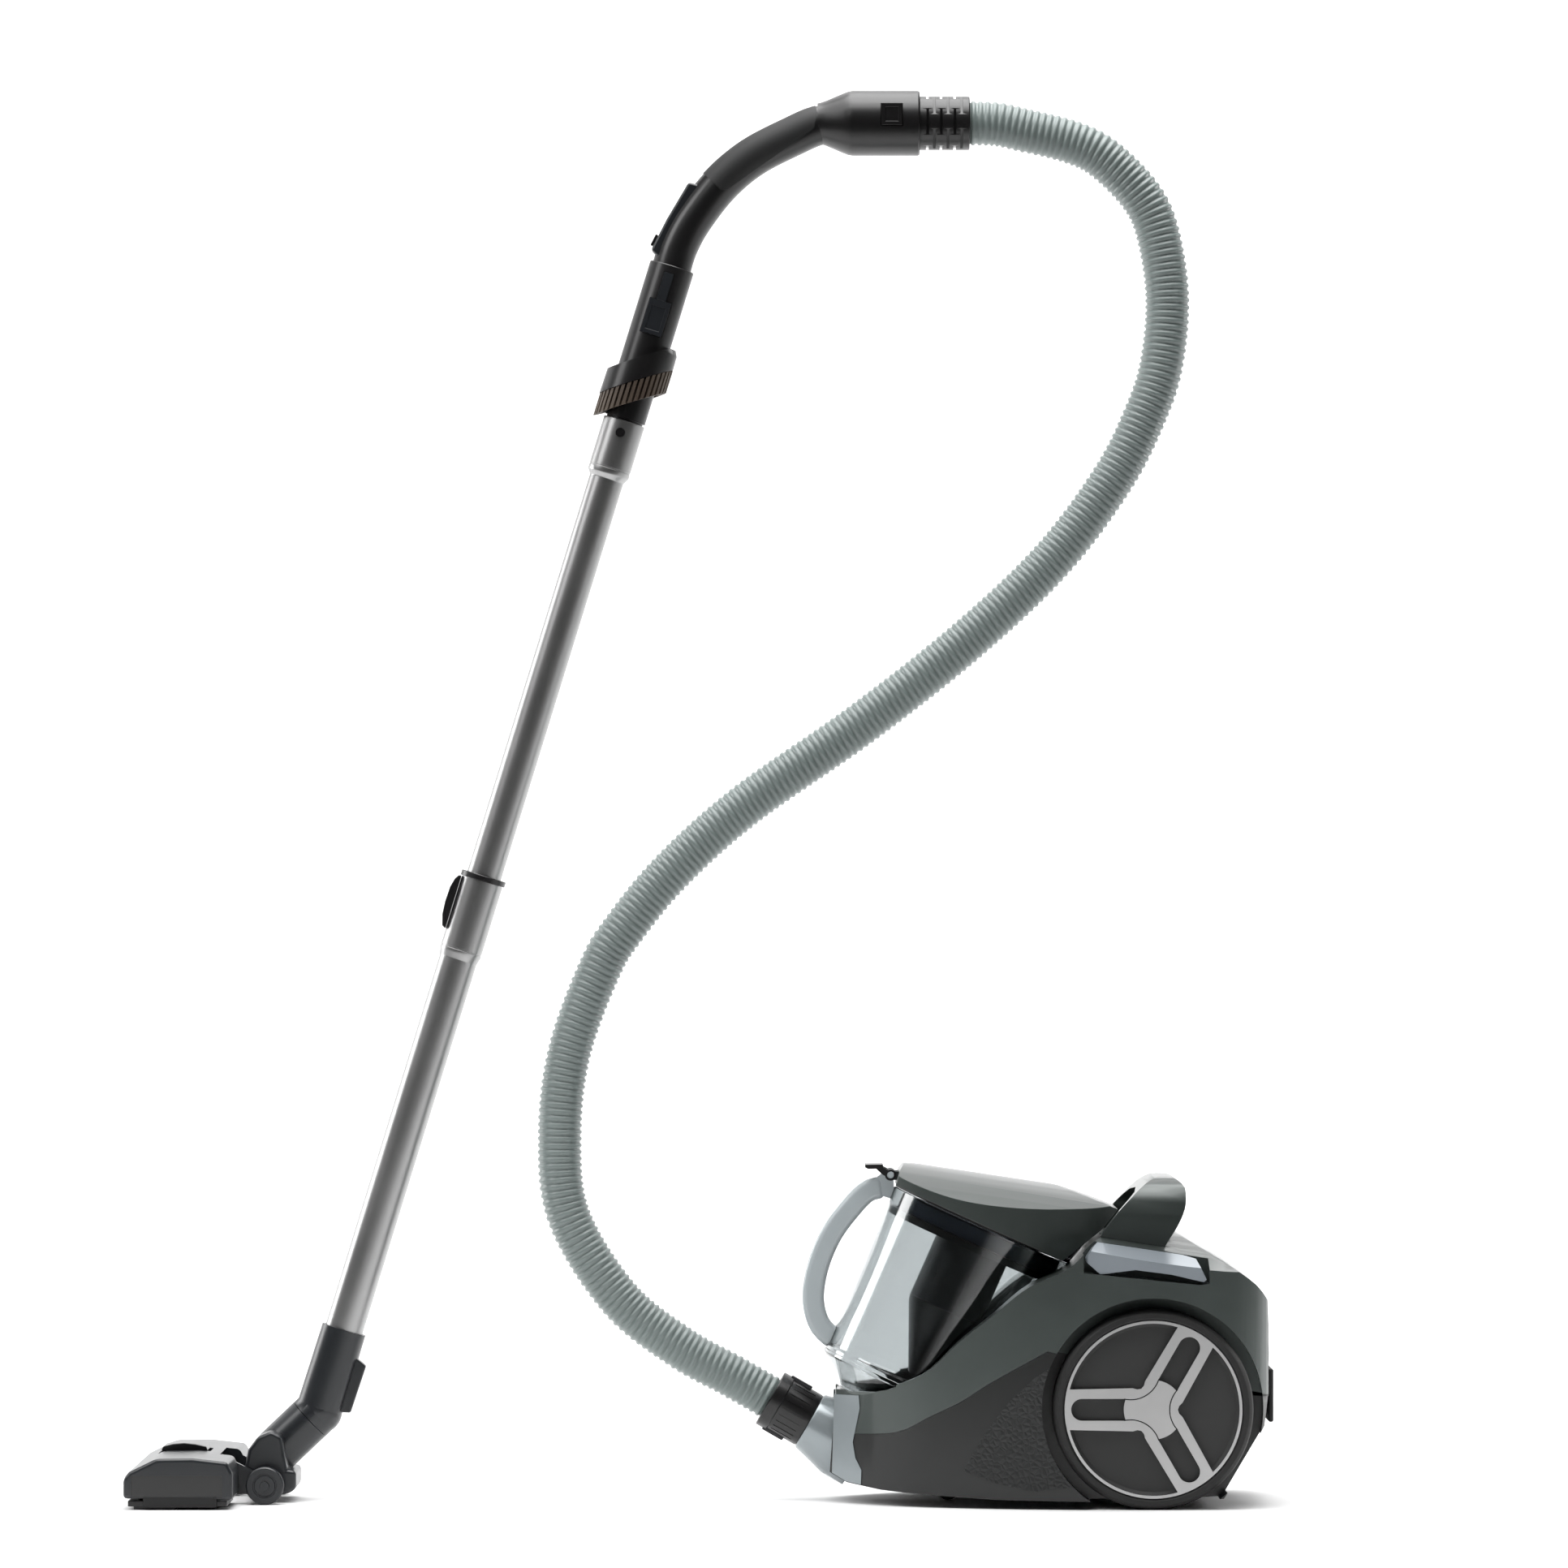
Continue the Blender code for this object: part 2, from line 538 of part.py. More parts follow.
for k in range(8):
    for level in (-44, -78):
        row = BIN @ Matrix.Rotation(math.radians(45 * k + 10), 4, "Z")
        cut(screen, box(28, 40, -6, 6, level, level + 15, row))
finish("mesh_screen", screen, STEEL, 0.35, 1.0)
cone = turned([(35, -84.3), (34, -90), (8, -150), (5.5, -150), (31, -90), (32, -84.3)], BIN, 28)
finish("cyclone_cone", cone, BLACK)
finish("foam_filter", turned([(78, -3), (78, -17), (0, -17), (0, -3)], BIN, 32), (60, 70, 90), 0.95)

LID = [(176.8, 288.8), (180.6, 301.9), (184, 306.9), (215, 306), (252, 303.1), (290, 296), (322.6, 287.3)]
LID += [(352, 277), (377.8, 267), (361.8, 247.9), (327, 221.2)]
LID_WIDTHS = [(170, 58), (176, 64), (185, 73), (200, 83), (225, 92.5), (250, 96), (280, 94.5), (310, 89)]
LID_WIDTHS += [(340, 80), (360, 71), (380, 58)]
lid = slab(LID, -100, 100, bevel=2)
meet(lid, plan(LID_WIDTHS))
LID_IN = [(188, 250), (188, 300.3), (252, 298.6), (321, 283), (366, 266), (357, 252), (324, 227.5), (318, 200)]
lid_room = slab(LID_IN, -100, 100)
meet(lid_room, plan([(x, w - 4) for x, w in LID_WIDTHS]))
cut(lid, lid_room)
for low, high in ((-18, -13), (13, 18)):
    join(lid, rod(5.2, low, high, PIN, sides=20), box(174, 184, low, high, 292, 301.5))
cut(lid, rod(3.3, -30, 30, PIN, sides=20))
finish("bin_lid", lid, DARK, 0.4, pivot=(172.4, 0, 296.7))
lever = slab([(149.3, 303.5), (149.3, 306.1), (165.5, 306.3), (165.5, 302.4), (152, 302.2)], -24, 24)
for low, high in ((-23, -18.6), (18.6, 23)):
    join(lever, rod(5.2, low, high, PIN, sides=20))
    join(lever, slab([(158, 303.5), (165, 304), (173, 300), (171, 294), (165, 297)], low, high))
cut(lever, rod(3.3, -30, 30, PIN, sides=20))
finish("bin_release_lever", lever, BLACK, pivot=(172.4, 0, 296.7))

# ---------------------------------------------------------------- hose and its ends
cuff = turned(
    [(27, CUFF_LENGTH), (26, 0), (18.6, 0), (18.6, -12), (17, -12), (17, CUFF_LENGTH)],
    INLET, 40)
for side in (-1, 1):
    near, far = sorted((side * 21.8, side * 30))
    cut(cuff, box(near, far, -6, 6, 12, 34, INLET))
finish("hose_cuff", cuff, (77, 76, 76), 0.5)
for side, name in ((-1, "cuff_clip_top"), (1, "cuff_clip_bottom")):
    near, far = sorted((side * 23.8, side * 28.2))
    finish(name, box(near, far, -5.7, 5.7, 12.3, 33.7, INLET), BLACK, 0.5)

HOSE = [(241, 1255), (249, 1255), (270, 1254), (293, 1249), (337, 1238), (367, 1223), (400, 1190), (416, 1156), (425, 1097)]
HOSE += [(420, 1037), (406, 992), (376, 932), (320, 857), (242, 783), (147, 708), (40, 633), (-27, 573)]
HOSE += [(-70, 521), (-92.5, 484), (-120, 409), (-129, 334), (-121, 259), (-75.5, 184.5), (-21, 140), (27, 113.4)]
HOSE += [(62.6, 92.9)]
mouth = INLET @ Vector((0, 0, (CUFF_LENGTH + FIT) * MM)) / MM
HOSE[-1] = (mouth.x + 0.867 * 4, mouth.z - 0.498 * 4)
HOSE[-2] = (mouth.x - 0.867 * 38, mouth.z + 0.498 * 38)
hose = swept(curve_through(HOSE, 40), HOSE_R, HOSE_WALL, sides=12)
cut(hose, box(200, 244.6 + FIT, -40, 40, 1200, 1300), box(-40, 40, -40, 40, -30, CUFF_LENGTH + FIT, INLET))
finish("hose", hose, (120, 130, 130), 0.6)

sleeve = turned([(24.4, 244.6), (24.4, 199.4), (17, 199.4), (17, 244.6)], BARREL, 32)
for k in range(4):
    for j in range(3):
        x = 206 + 12 * j
        slot = BARREL @ Matrix.Rotation(math.radians(90 * k + 45 * (j % 2)), 4, "Z")
        cut(sleeve, box(20.6, 30, -12, 12, x, x + 5, slot))
finish("hose_sleeve", sleeve, BLACK, 0.6)

# ---------------------------------------------------------------- handle
barrel_shape = [(BARREL_R, 199.1), (BARREL_R, 136), (22, 122), (15.8, 122), (17, 150), (17, 199.1)]
barrel = turned(barrel_shape, BARREL, 40)
cut(barrel, box(163.7, 183.3, -40, -21.5, 1250.7, 1271.3))
finish("handle_barrel", barrel, BLACK, 0.35)
finish("hose_release_button", box(164, 183, -31, -24, 1251, 1271), DARK, pivot=(173.5, -27, 1261))
start = WAND @ Vector((0, 0, 1.088)) / MM
second = WAND @ Vector((0, 0, 1.110)) / MM
BEND = [(start.x, start.z), (second.x, second.z), (-7.7, 1166.8), (17.5, 1199.3), (47.2, 1224.1), (85.5, 1243.9)]
BEND += [(106, 1252.6), (125, BARREL_Z)]
bend_path = curve_through(BEND, 13)
bend = swept(bend_path, GRIP_R, 2.2, sides=16)
cut(bend, box(122 - FIT, 150, -40, 40, 1200, 1300), box(-50, 50, -40, 40, 1050, 1091.5 + FIT, WAND))
finish("handle_bend", bend, BLACK, 0.35)
pad = swept(bend_path[1:-1], GRIP_R + 1.6, sides=16)
cut(pad, swept(bend_path, GRIP_R + FIT, sides=16))
PAD = [(3.7, 1206.9), (-12, 1226), (84, 1288), (101, 1282), (105.8, 1263.9), (103, 1249.1), (24.4, 1193.6)]
meet(pad, slab(PAD + [(17.8, 1192.9)], -30, 30))
finish("grip_pad", pad, (45, 46, 47), 0.8)
POD = [(-11.4, 1200.7), (6, 1196), (-10, 1160), (-22, 1131), (-39, 1132.3), (-45.7, 1138.9), (-31.4, 1167)]
pod = slab(POD, -11, 11, bevel=2)
cut(pod, swept(bend_path, GRIP_R + FIT, sides=16))
finish("control_pod", pod, BLACK, 0.5)
face = frame_at(-42.5, 1145.4, (0.454, 0.892))
slider = box(-2.8, -0.3, -4, 4, -3, 8, face)
finish("suction_slider", slider, GREY)

grip_sleeve = turned(
    [(SLEEVE_R, 1091.5), (SLEEVE_R, 990), (19, 990), (19, 946), (17, 946), (17, 905), (14.5, 905), (14.5, 1091.5)],
    WAND, 36)
cut(grip_sleeve, box(-10.3, 10.3, -30, -17, 1025.7, 1058.3, WAND), box(-4.8, 4.8, -30, -17, 1058, 1084.3, WAND))
cut(grip_sleeve, rod(4.7, -25, -12, WAND @ Matrix.Translation((0, 0, 0.9325)) @ ACROSS, sides=20))
finish("handle_sleeve", grip_sleeve, BLACK, 0.35)
lock = box(-10, 10, -21.8, -19.2, 1026, 1058, WAND)
join(lock, box(-4.5, 4.5, -21.6, -19.2, 1057, 1084, WAND))
finish("brush_lock_button", lock, DARK)

SLANT = math.radians(34)


def slant_cut(t, above):
    """A half space beyond a plane across the wand, leaning 34 degrees up towards +X."""
    lean = WAND @ Matrix.Translation((0, 0, t * MM)) @ Matrix.Rotation(-SLANT, 4, "Y")
    low, high = (0, 120) if above else (-120, 0)
    return box(-90, 90, -90, 90, low, high, lean)


collar = turned([(26, 1019), (28.5, 1014), (30, 940), (21.1, 940), (21.1, 1019)], WAND, 36)
cut(collar, slant_cut(982, False))
finish("brush_collar", collar, DARK, 0.5)
bristles = turned([(28.5, 1015), (30, 930), (22.5, 930), (22.5, 1015)], WAND, 36)
cut(bristles, slant_cut(981.6, True), slant_cut(960, False))
finish("brush_bristles", bristles, (66, 56, 47), 0.9)

# ---------------------------------------------------------------- wand
upper = [(COLLAR_R, 944), (COLLAR_R, 894), (INNER_R, 889), (INNER_R, 420), (INNER_R - 1.2, 420), (INNER_R - 1.2, 893)]
upper += [(17.3, 899), (17.3, 944)]
upper_tube = turned(upper, WAND, 36)
cut(upper_tube, rod(4.3, -25, -12, WAND @ Matrix.Translation((0, 0, 0.9325)) @ ACROSS, sides=20))
finish("upper_tube", upper_tube, STEEL, 0.2, 1.0)
button_frame = WAND @ Matrix.Translation((0, 0, 0.9325)) @ ACROSS
finish("wand_button", rod(4, -20.8, -17.6, button_frame, sides=20), SILVER, 0.2, 1.0)
lower = [(COLLAR_R, 505), (COLLAR_R, 436.6), (TUBE_R, 430.3), (TUBE_R, 30), (TUBE_R - TUBE_WALL, 30)]
lower += [(TUBE_R - TUBE_WALL, 436), (17.6, 440), (17.6, 505)]
finish("lower_tube", turned(lower, WAND, 36), STEEL, 0.2, 1.0)
ring = turned([(20.9, 510.3), (20.9, 505.3), (16.4, 505.3), (16.4, 510.3)], WAND, 36)
finish("tube_collar_ring", ring, BLACK)
catch = [(-19.6, 454), (-19.6, 504.5), (-22, 504.5), (-26.5, 494), (-27, 478), (-23, 456)]
catch = [(x, t) for x, t in catch]
work = bmesh.new()
sides = [[work.verts.new((x * MM, y * MM, t * MM)) for x, t in catch] for y in (-9, 9)]
work.faces.new(sides[0])
work.faces.new(sides[1])
for i in range(len(catch)):
    j = (i + 1) % len(catch)
    work.faces.new((sides[0][i], sides[0][j], sides[1][j], sides[1][i]))
finish("collar_catch", keep("catch", work, WAND), BLACK, 0.4)

elbow = rod(SLEEVE_R + 0.5, 0, 77.7, WAND, r1=SLEEVE_R - 0.2, sides=36)
join(elbow, ball(NECK_R + 0.25, WAND_FOOT[0], 0, WAND_FOOT[1], 34), rod(NECK_R, FIT, 11.4, NECK, sides=36))
HOOK = [(-315.5, 130.5), (-305.3, 122), (-319.5, 79.4), (-331, 80), (-327, 95)]
join(elbow, slab(HOOK, -8, 8, bevel=0))
cut(elbow, box(SLEEVE_R + 0.8, SLEEVE_R + 4.3, -9, 9, 26, 70, WAND))
cut(elbow, rod(TUBE_R + 0.3, 29.7, 90, WAND, sides=36), rod(14.5, 0.4, 40, WAND, sides=32))
cut(elbow, rod(14.5, -10, 11.3, NECK, sides=30), ball(15.1, WAND_FOOT[0], 0, WAND_FOOT[1], 26))
cut(elbow, box(-40, 40, -40, 40, -40, FIT, NECK))
finish("elbow", elbow, (40, 43, 43), 0.4)

YOKE = [(-414, 30), (-411, 48), (-402, 60), (-390, 65), (-380, 60), (-375, 30), (-367, 29), (-367, 13), (-374, 8)]
YOKE += [(-395, 6), (-408, 14)]
yoke = slab(YOKE, -44, 44, bevel=2)
join(yoke, rod(NECK_R, -42, -FIT, NECK, sides=36), rod(4, -74, 74, across_at(AXLE_X, HEAD_WHEEL_R), sides=20))
cut(yoke, rod(14.5, -36, 10, NECK, sides=32), box(-420, -385, -36, 36, 25, 45))
finish("neck_yoke", yoke, (40, 43, 43), 0.4)
for side, name in ((-1, "head_wheel_left"), (1, "head_wheel_right")):
    near, far = sorted((side * 57, side * 72))
    small = rod(HEAD_WHEEL_R, near, far, across_at(AXLE_X, HEAD_WHEEL_R), sides=32)
    cut(small, rod(4.2, near - 5, far + 5, across_at(AXLE_X, HEAD_WHEEL_R), sides=20))
    finish(name, small, (40, 40, 40), 0.7, pivot=(AXLE_X, side * 64.5, HEAD_WHEEL_R))

# ---------------------------------------------------------------- floor head
HEAD = [(HEAD_FRONT, 10.2), (HEAD_FRONT, 28), (-512, 34), (-487.6, 46), (-455, 46.5), (-423.6, 43), (-418.5, 33)]
HEAD += [(-418.5, 8.7)]
HEAD_IN = [(HEAD_FRONT + WALL, 0), (HEAD_FRONT + WALL, 28), (-485, 36), (-427, 36), (-421.5, 32), (-421.5, 0)]
head = slab(HEAD, -HEAD_HALF, HEAD_HALF, bevel=2)
cut(head, slab(HEAD_IN, -HEAD_HALF + WALL, HEAD_HALF - WALL))
LUG = [(-426, 40), (-400, 27), (-385, 22), (-385, 12), (-394, 8), (-426, 9)]
for low, high in ((-54, -46.5), (46.5, 54)):
    join(head, slab(LUG, low, high))
cut(head, rod(50, -46, 46, across_at(AXLE_X, HEAD_WHEEL_R), sides=48))
cut(head, rod(4.3, -60, 60, across_at(AXLE_X, HEAD_WHEEL_R), sides=20))
cut(head, box(-494, -446, -22.5, 22.5, 38, 60), rod(1.9, -26.3, 26.3, across_at(-470, 42), sides=12))
finish("head_housing", head, (106, 110, 116), 0.4)
sole = box(HEAD_FRONT + 4, -424, -HEAD_HALF + 5, HEAD_HALF - 5, 3, 8)
for low, high in ((-129, -122), (122, 129)):
    join(sole, box(-508, -470, low, high, 0, 4))
cut(sole, box(-490, -470, -100, 100, 0, 12), box(-504.3, -497.7, -117, 117, 0, 12))
cut(sole, box(-457.3, -450.7, -117, 117, 0, 12), rod(46, -47, 47, across_at(AXLE_X, HEAD_WHEEL_R), sides=40))
finish("head_sole", sole, (70, 72, 74), 0.4)
frame = box(-503.5, -498.5, -116, 116, 0.4, 11)
join(frame, box(-456.5, -451.5, -116, 116, 0.4, 11))
for low, high in ((-116, -111), (111, 116)):
    join(frame, box(-502, -453, low, high, 8.4, 10.9))
finish("brush_frame", frame, (35, 33, 31), 0.9)
ROCKER = [(-491, 46.4), (-489, 50), (-470, 53), (-450, 49.8), (-448.5, 46), (-462, 43.4), (-466, 39.6), (-474, 39.6)]
ROCKER += [(-478, 43.4)]
rocker = slab(ROCKER, -22, 22, bevel=0.8)
join(rocker, rod(1.6, -26, 26, across_at(-470, 42), sides=12))
finish("head_pedal", rocker, DARK, pivot=(-470, 0, 42))

for hidden in list(CUTTERS.objects):
    bpy.data.objects.remove(hidden, do_unlink=True)
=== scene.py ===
import math

import bpy
from bpy.props import FloatProperty, IntProperty, PointerProperty
from mathutils import Matrix, Vector


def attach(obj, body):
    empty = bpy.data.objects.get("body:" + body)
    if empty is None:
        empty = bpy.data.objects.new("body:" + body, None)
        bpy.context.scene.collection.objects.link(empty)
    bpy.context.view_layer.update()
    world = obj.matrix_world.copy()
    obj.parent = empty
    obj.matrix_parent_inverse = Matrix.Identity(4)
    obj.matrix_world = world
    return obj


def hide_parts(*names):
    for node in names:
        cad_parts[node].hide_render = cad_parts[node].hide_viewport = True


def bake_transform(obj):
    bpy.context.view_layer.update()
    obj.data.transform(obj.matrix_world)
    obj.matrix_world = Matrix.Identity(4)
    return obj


bl_info = {
    "name": "Canister vacuum cleaner",
    "version": (1, 0, 0),
    "blender": (4, 5, 0),
    "location": "View3D > Sidebar > Vacuum",
    "description": "Models a bagless canister vacuum cleaner over its engineering frame",
    "category": "Object",
}

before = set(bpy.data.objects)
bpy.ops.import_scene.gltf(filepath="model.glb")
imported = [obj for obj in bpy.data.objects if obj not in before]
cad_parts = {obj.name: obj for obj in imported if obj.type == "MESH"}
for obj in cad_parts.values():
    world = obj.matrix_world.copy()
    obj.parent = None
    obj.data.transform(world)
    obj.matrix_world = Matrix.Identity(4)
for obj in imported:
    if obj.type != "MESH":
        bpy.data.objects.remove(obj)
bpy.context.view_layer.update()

MM = 0.001
FIT = 0.3
BIN_R = 88.0
WHEEL_R = 90.0
WHEEL_X = 406.7
TUBE_R = 17.5
INNER_R = 16.0
COLLAR_R = 19.3
SLEEVE_R = 20.7
GRIP_R = 18.0
BARREL_R = 29.6
BARREL_Z = 1255.0
NECK_R = 21.2
CUFF_LENGTH = 41.0
HEAD_HALF = 138.0
WAND_FOOT = (-348.6, 81.2)
TILT = math.radians(17.16)
CROWN_SLOPE = 0.15
WELL_R = 100.0
WELL_IN = 97.0
CASTER_X = 205.0
CUP_DEPTH = 160.0
HUB_IN = 100.0
HUB_OUT = 138.0


# ---------------------------------------------------------------- placing
def frame_at(x, z, along):
    up = Vector((along[0], 0, along[1])).normalized()
    side = Vector((up.z, 0, -up.x))
    turn = Matrix((side, Vector((0, 1, 0)), up)).transposed().to_4x4()
    return Matrix.Translation((x * MM, 0, z * MM)) @ turn


ACROSS = Matrix(((1, 0, 0, 0), (0, 0, 1, 0), (0, -1, 0, 0), (0, 0, 0, 1)))


def across_at(x, z):
    return Matrix.Translation((x * MM, 0, z * MM)) @ ACROSS


WORLD = Matrix.Identity(4)
WAND = frame_at(*WAND_FOOT, (math.sin(TILT), math.cos(TILT)))
BIN = frame_at(256.8, 250.7, (0.4067, 0.9135))
INLET = frame_at(98.4, 72.3, (-0.867, 0.498))
NECK = frame_at(-356.7, 73.6, (0.726, 0.688))
BARREL = frame_at(0, BARREL_Z, (1, 0))
WHEEL = across_at(WHEEL_X, WHEEL_R)
PIN = across_at(172.4, 296.7)
AXLE = across_at(-394.0, 17.0)
BUTTON = WAND @ Matrix.Translation((0, 0, 0.9325)) @ ACROSS


# ---------------------------------------------------------------- modelling
def only(obj):
    """Makes obj the one selected, active object."""
    bpy.ops.object.select_all(action="DESELECT")
    obj.select_set(True)
    bpy.context.view_layer.objects.active = obj


def settle(obj, place=WORLD):
    """Puts the object's place into its mesh, and turns its faces outward."""
    only(obj)
    obj.matrix_world = place @ obj.matrix_world
    bpy.ops.object.transform_apply(location=True, rotation=True, scale=True)
    bpy.ops.object.mode_set(mode="EDIT")
    bpy.ops.mesh.select_all(action="SELECT")
    bpy.ops.mesh.remove_doubles(threshold=2e-6)
    bpy.ops.mesh.normals_make_consistent(inside=False)
    bpy.ops.object.mode_set(mode="OBJECT")
    return obj


def draw(points, closed=True):
    """A line of vertices, drawn by extruding one vertex from point to point. Left in edit mode."""
    bpy.ops.object.select_all(action="DESELECT")
    bpy.ops.mesh.primitive_plane_add(size=0.001)
    obj = bpy.context.object
    bpy.ops.object.mode_set(mode="EDIT")
    bpy.ops.mesh.select_all(action="SELECT")
    bpy.ops.mesh.merge(type="CENTER")
    bpy.ops.transform.translate(value=points[0])
    here = Vector(points[0])
    for point in list(points[1:]) + ([points[0]] if closed else []):
        step = Vector(point) - here
        bpy.ops.mesh.extrude_region_move(TRANSFORM_OT_translate={"value": step})
        here = Vector(point)
    bpy.ops.mesh.select_all(action="SELECT")
    bpy.ops.mesh.remove_doubles(threshold=2e-6)
    return obj


def slab(outline, low, high, plane="XZ", place=WORLD):
    """An outline filled and extruded: XZ is thick along Y, XY is thick along Z."""
    if plane == "XZ":
        points = [(a * MM, low * MM, b * MM) for a, b in outline]
        push = (0, (high - low) * MM, 0)
    else:
        points = [(a * MM, b * MM, low * MM) for a, b in outline]
        push = (0, 0, (high - low) * MM)
    obj = draw(points)
    bpy.ops.mesh.edge_face_add()
    bpy.ops.mesh.extrude_region_move(TRANSFORM_OT_translate={"value": push})
    bpy.ops.object.mode_set(mode="OBJECT")
    return settle(obj, place)


def plan(pairs, low=-50, high=400):
    """A plan outline, mirrored about the centre plane, from (x, half width) pairs."""
    fine = spaced(pairs, 6)
    outline = [(x, -w) for x, w in fine] + [(x, w) for x, w in reversed(fine)]
    return slab(outline, low, high, "XY")


def turned(profile, place=WORLD, steps=72):
    """A closed outline of (radius, height) spun about the place's local Z."""
    points = [(r * MM, 0, h * MM) for r, h in profile]
    obj = draw(points, closed=not (profile[0][0] == 0 and profile[-1][0] == 0))
    bpy.ops.mesh.spin(steps=steps, angle=math.tau, center=(0, 0, 0), axis=(0, 0, 1))
    bpy.ops.object.mode_set(mode="OBJECT")
    return settle(obj, place)


def box(x0, x1, y0, y1, z0, z1, place=WORLD):
    bpy.ops.object.select_all(action="DESELECT")
    middle = ((x0 + x1) / 2 * MM, (y0 + y1) / 2 * MM, (z0 + z1) / 2 * MM)
    bpy.ops.mesh.primitive_cube_add(size=1, location=middle)
    obj = bpy.context.object
    obj.scale = ((x1 - x0) * MM, (y1 - y0) * MM, (z1 - z0) * MM)
    bpy.context.view_layer.update()
    return settle(obj, place)


def rod(r0, z0, z1, place=WORLD, r1=None, sides=64, at=(0, 0)):
    bpy.ops.object.select_all(action="DESELECT")
    bpy.ops.mesh.primitive_cone_add(
        vertices=sides,
        radius1=r0 * MM,
        radius2=(r0 if r1 is None else r1) * MM,
        depth=(z1 - z0) * MM,
        location=(at[0] * MM, at[1] * MM, (z0 + z1) / 2 * MM),
    )
    return settle(bpy.context.object, place)


def ball(r, x, z, sides=48):
    bpy.ops.object.select_all(action="DESELECT")
    bpy.ops.mesh.primitive_uv_sphere_add(segments=sides, ring_count=sides // 2, radius=r * MM)
    return settle(bpy.context.object, Matrix.Translation((x * MM, 0, z * MM)))


def guide_along(path):
    """A curve through a path of (x, z) points."""
    bpy.ops.object.select_all(action="DESELECT")
    bpy.ops.curve.primitive_nurbs_path_add()
    guide = bpy.context.object
    guide.data.splines.clear()
    spline = guide.data.splines.new("POLY")
    spline.points.add(len(path) - 1)
    for point, (x, z) in zip(spline.points, path):
        point.co = (x * MM, 0, z * MM, 1)
    return guide


def swept(path, radius):
    """A round bar along a path of (x, z) points."""
    curve = guide_along(path).data
    curve.bevel_depth = radius * MM
    curve.bevel_resolution = 14
    curve.use_fill_caps = True
    bpy.ops.object.convert(target="MESH")
    return settle(bpy.context.object)


def boolean(obj, others, operation):
    for other in others:
        only(obj)
        step = obj.modifiers.new("Boolean", "BOOLEAN")
        step.operation = operation
        step.solver = "EXACT"
        step.object = other
        bpy.ops.object.modifier_apply(modifier=step.name)
        bpy.data.objects.remove(other, do_unlink=True)
    return obj


def cut(obj, *others):
    return boolean(obj, others, "DIFFERENCE")


def join(obj, *others):
    return boolean(obj, others, "UNION")


def meet(obj, other):
    return boolean(obj, [other], "INTERSECT")


def soften(obj, width, segments=3, angle=40):
    """Rounds the edges sharper than the angle."""
    only(obj)
    step = obj.modifiers.new("Round", "BEVEL")
    step.width = width * MM
    step.segments = segments
    step.limit_method = "ANGLE"
    step.angle_limit = math.radians(angle)
    step.harden_normals = False
    bpy.ops.object.modifier_apply(modifier=step.name)
    return obj


def mirrored(obj):
    """A copy on the other side of the centre plane."""
    only(obj)
    bpy.ops.object.duplicate()
    other = bpy.context.object
    other.scale = (1, -1, 1)
    bpy.context.view_layer.update()
    return settle(other)


def spaced(points, spacing):
    """Evenly spaced points on a smooth curve through the given ones."""
    ends = [points[0]] + list(points) + [points[-1]]
    fine = []
    for a, b, c, d in zip(ends, ends[1:], ends[2:], ends[3:]):
        for k in range(24):
            t = k / 24
            fine.append(
                tuple(
                    0.5
                    * (
                        2 * q
                        + (r - p) * t
                        + (2 * p - 5 * q + 4 * r - s) * t * t
                        + (3 * q - p - 3 * r + s) * t**3
                    )
                    for p, q, r, s in zip(a, b, c, d)
                )
            )
    fine.append(tuple(points[-1]))
    lengths = [0.0]
    for a, b in zip(fine, fine[1:]):
        lengths.append(lengths[-1] + math.dist(a, b))
    count = max(2, round(lengths[-1] / spacing))
    found = []
    at = 0
    for k in range(count + 1):
        goal = lengths[-1] * k / count
        while at < len(fine) - 2 and lengths[at + 1] < goal:
            at += 1
        part = (goal - lengths[at]) / max(lengths[at + 1] - lengths[at], 1e-9)
        found.append(tuple(p + (q - p) * min(part, 1) for p, q in zip(fine[at], fine[at + 1])))
    return found


def done(obj, name, body, finish, *nodes, smooth=32):
    """Names a finished piece, gives it its material, and hands it to its body in place of its CAD nodes."""
    only(obj)
    obj.name = name.replace(" ", "_")
    bpy.ops.object.shade_smooth_by_angle(angle=math.radians(smooth))
    # Large faces lead the shading, so that the cuts' thin triangles leave no streaks.
    step = obj.modifiers.new("Even shading", "WEIGHTED_NORMAL")
    step.keep_sharp = True
    bpy.ops.object.modifier_apply(modifier=step.name)
    obj.data.materials.clear()
    obj.data.materials.append(FINISHES[finish]())
    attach(obj, body)
    if nodes:
        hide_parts(*nodes)
    return obj


# ---------------------------------------------------------------- materials
def linear(colour):
    """An sRGB hex colour as linear RGBA."""
    parts = [int(colour[i : i + 2], 16) / 255 for i in (1, 3, 5)]
    return (*[c / 12.92 if c <= 0.04045 else ((c + 0.055) / 1.055) ** 2.4 for c in parts], 1)


def node(tree, kind, **values):
    made = tree.nodes.new(kind)
    for key, value in values.items():
        setattr(made, key, value)
    return made


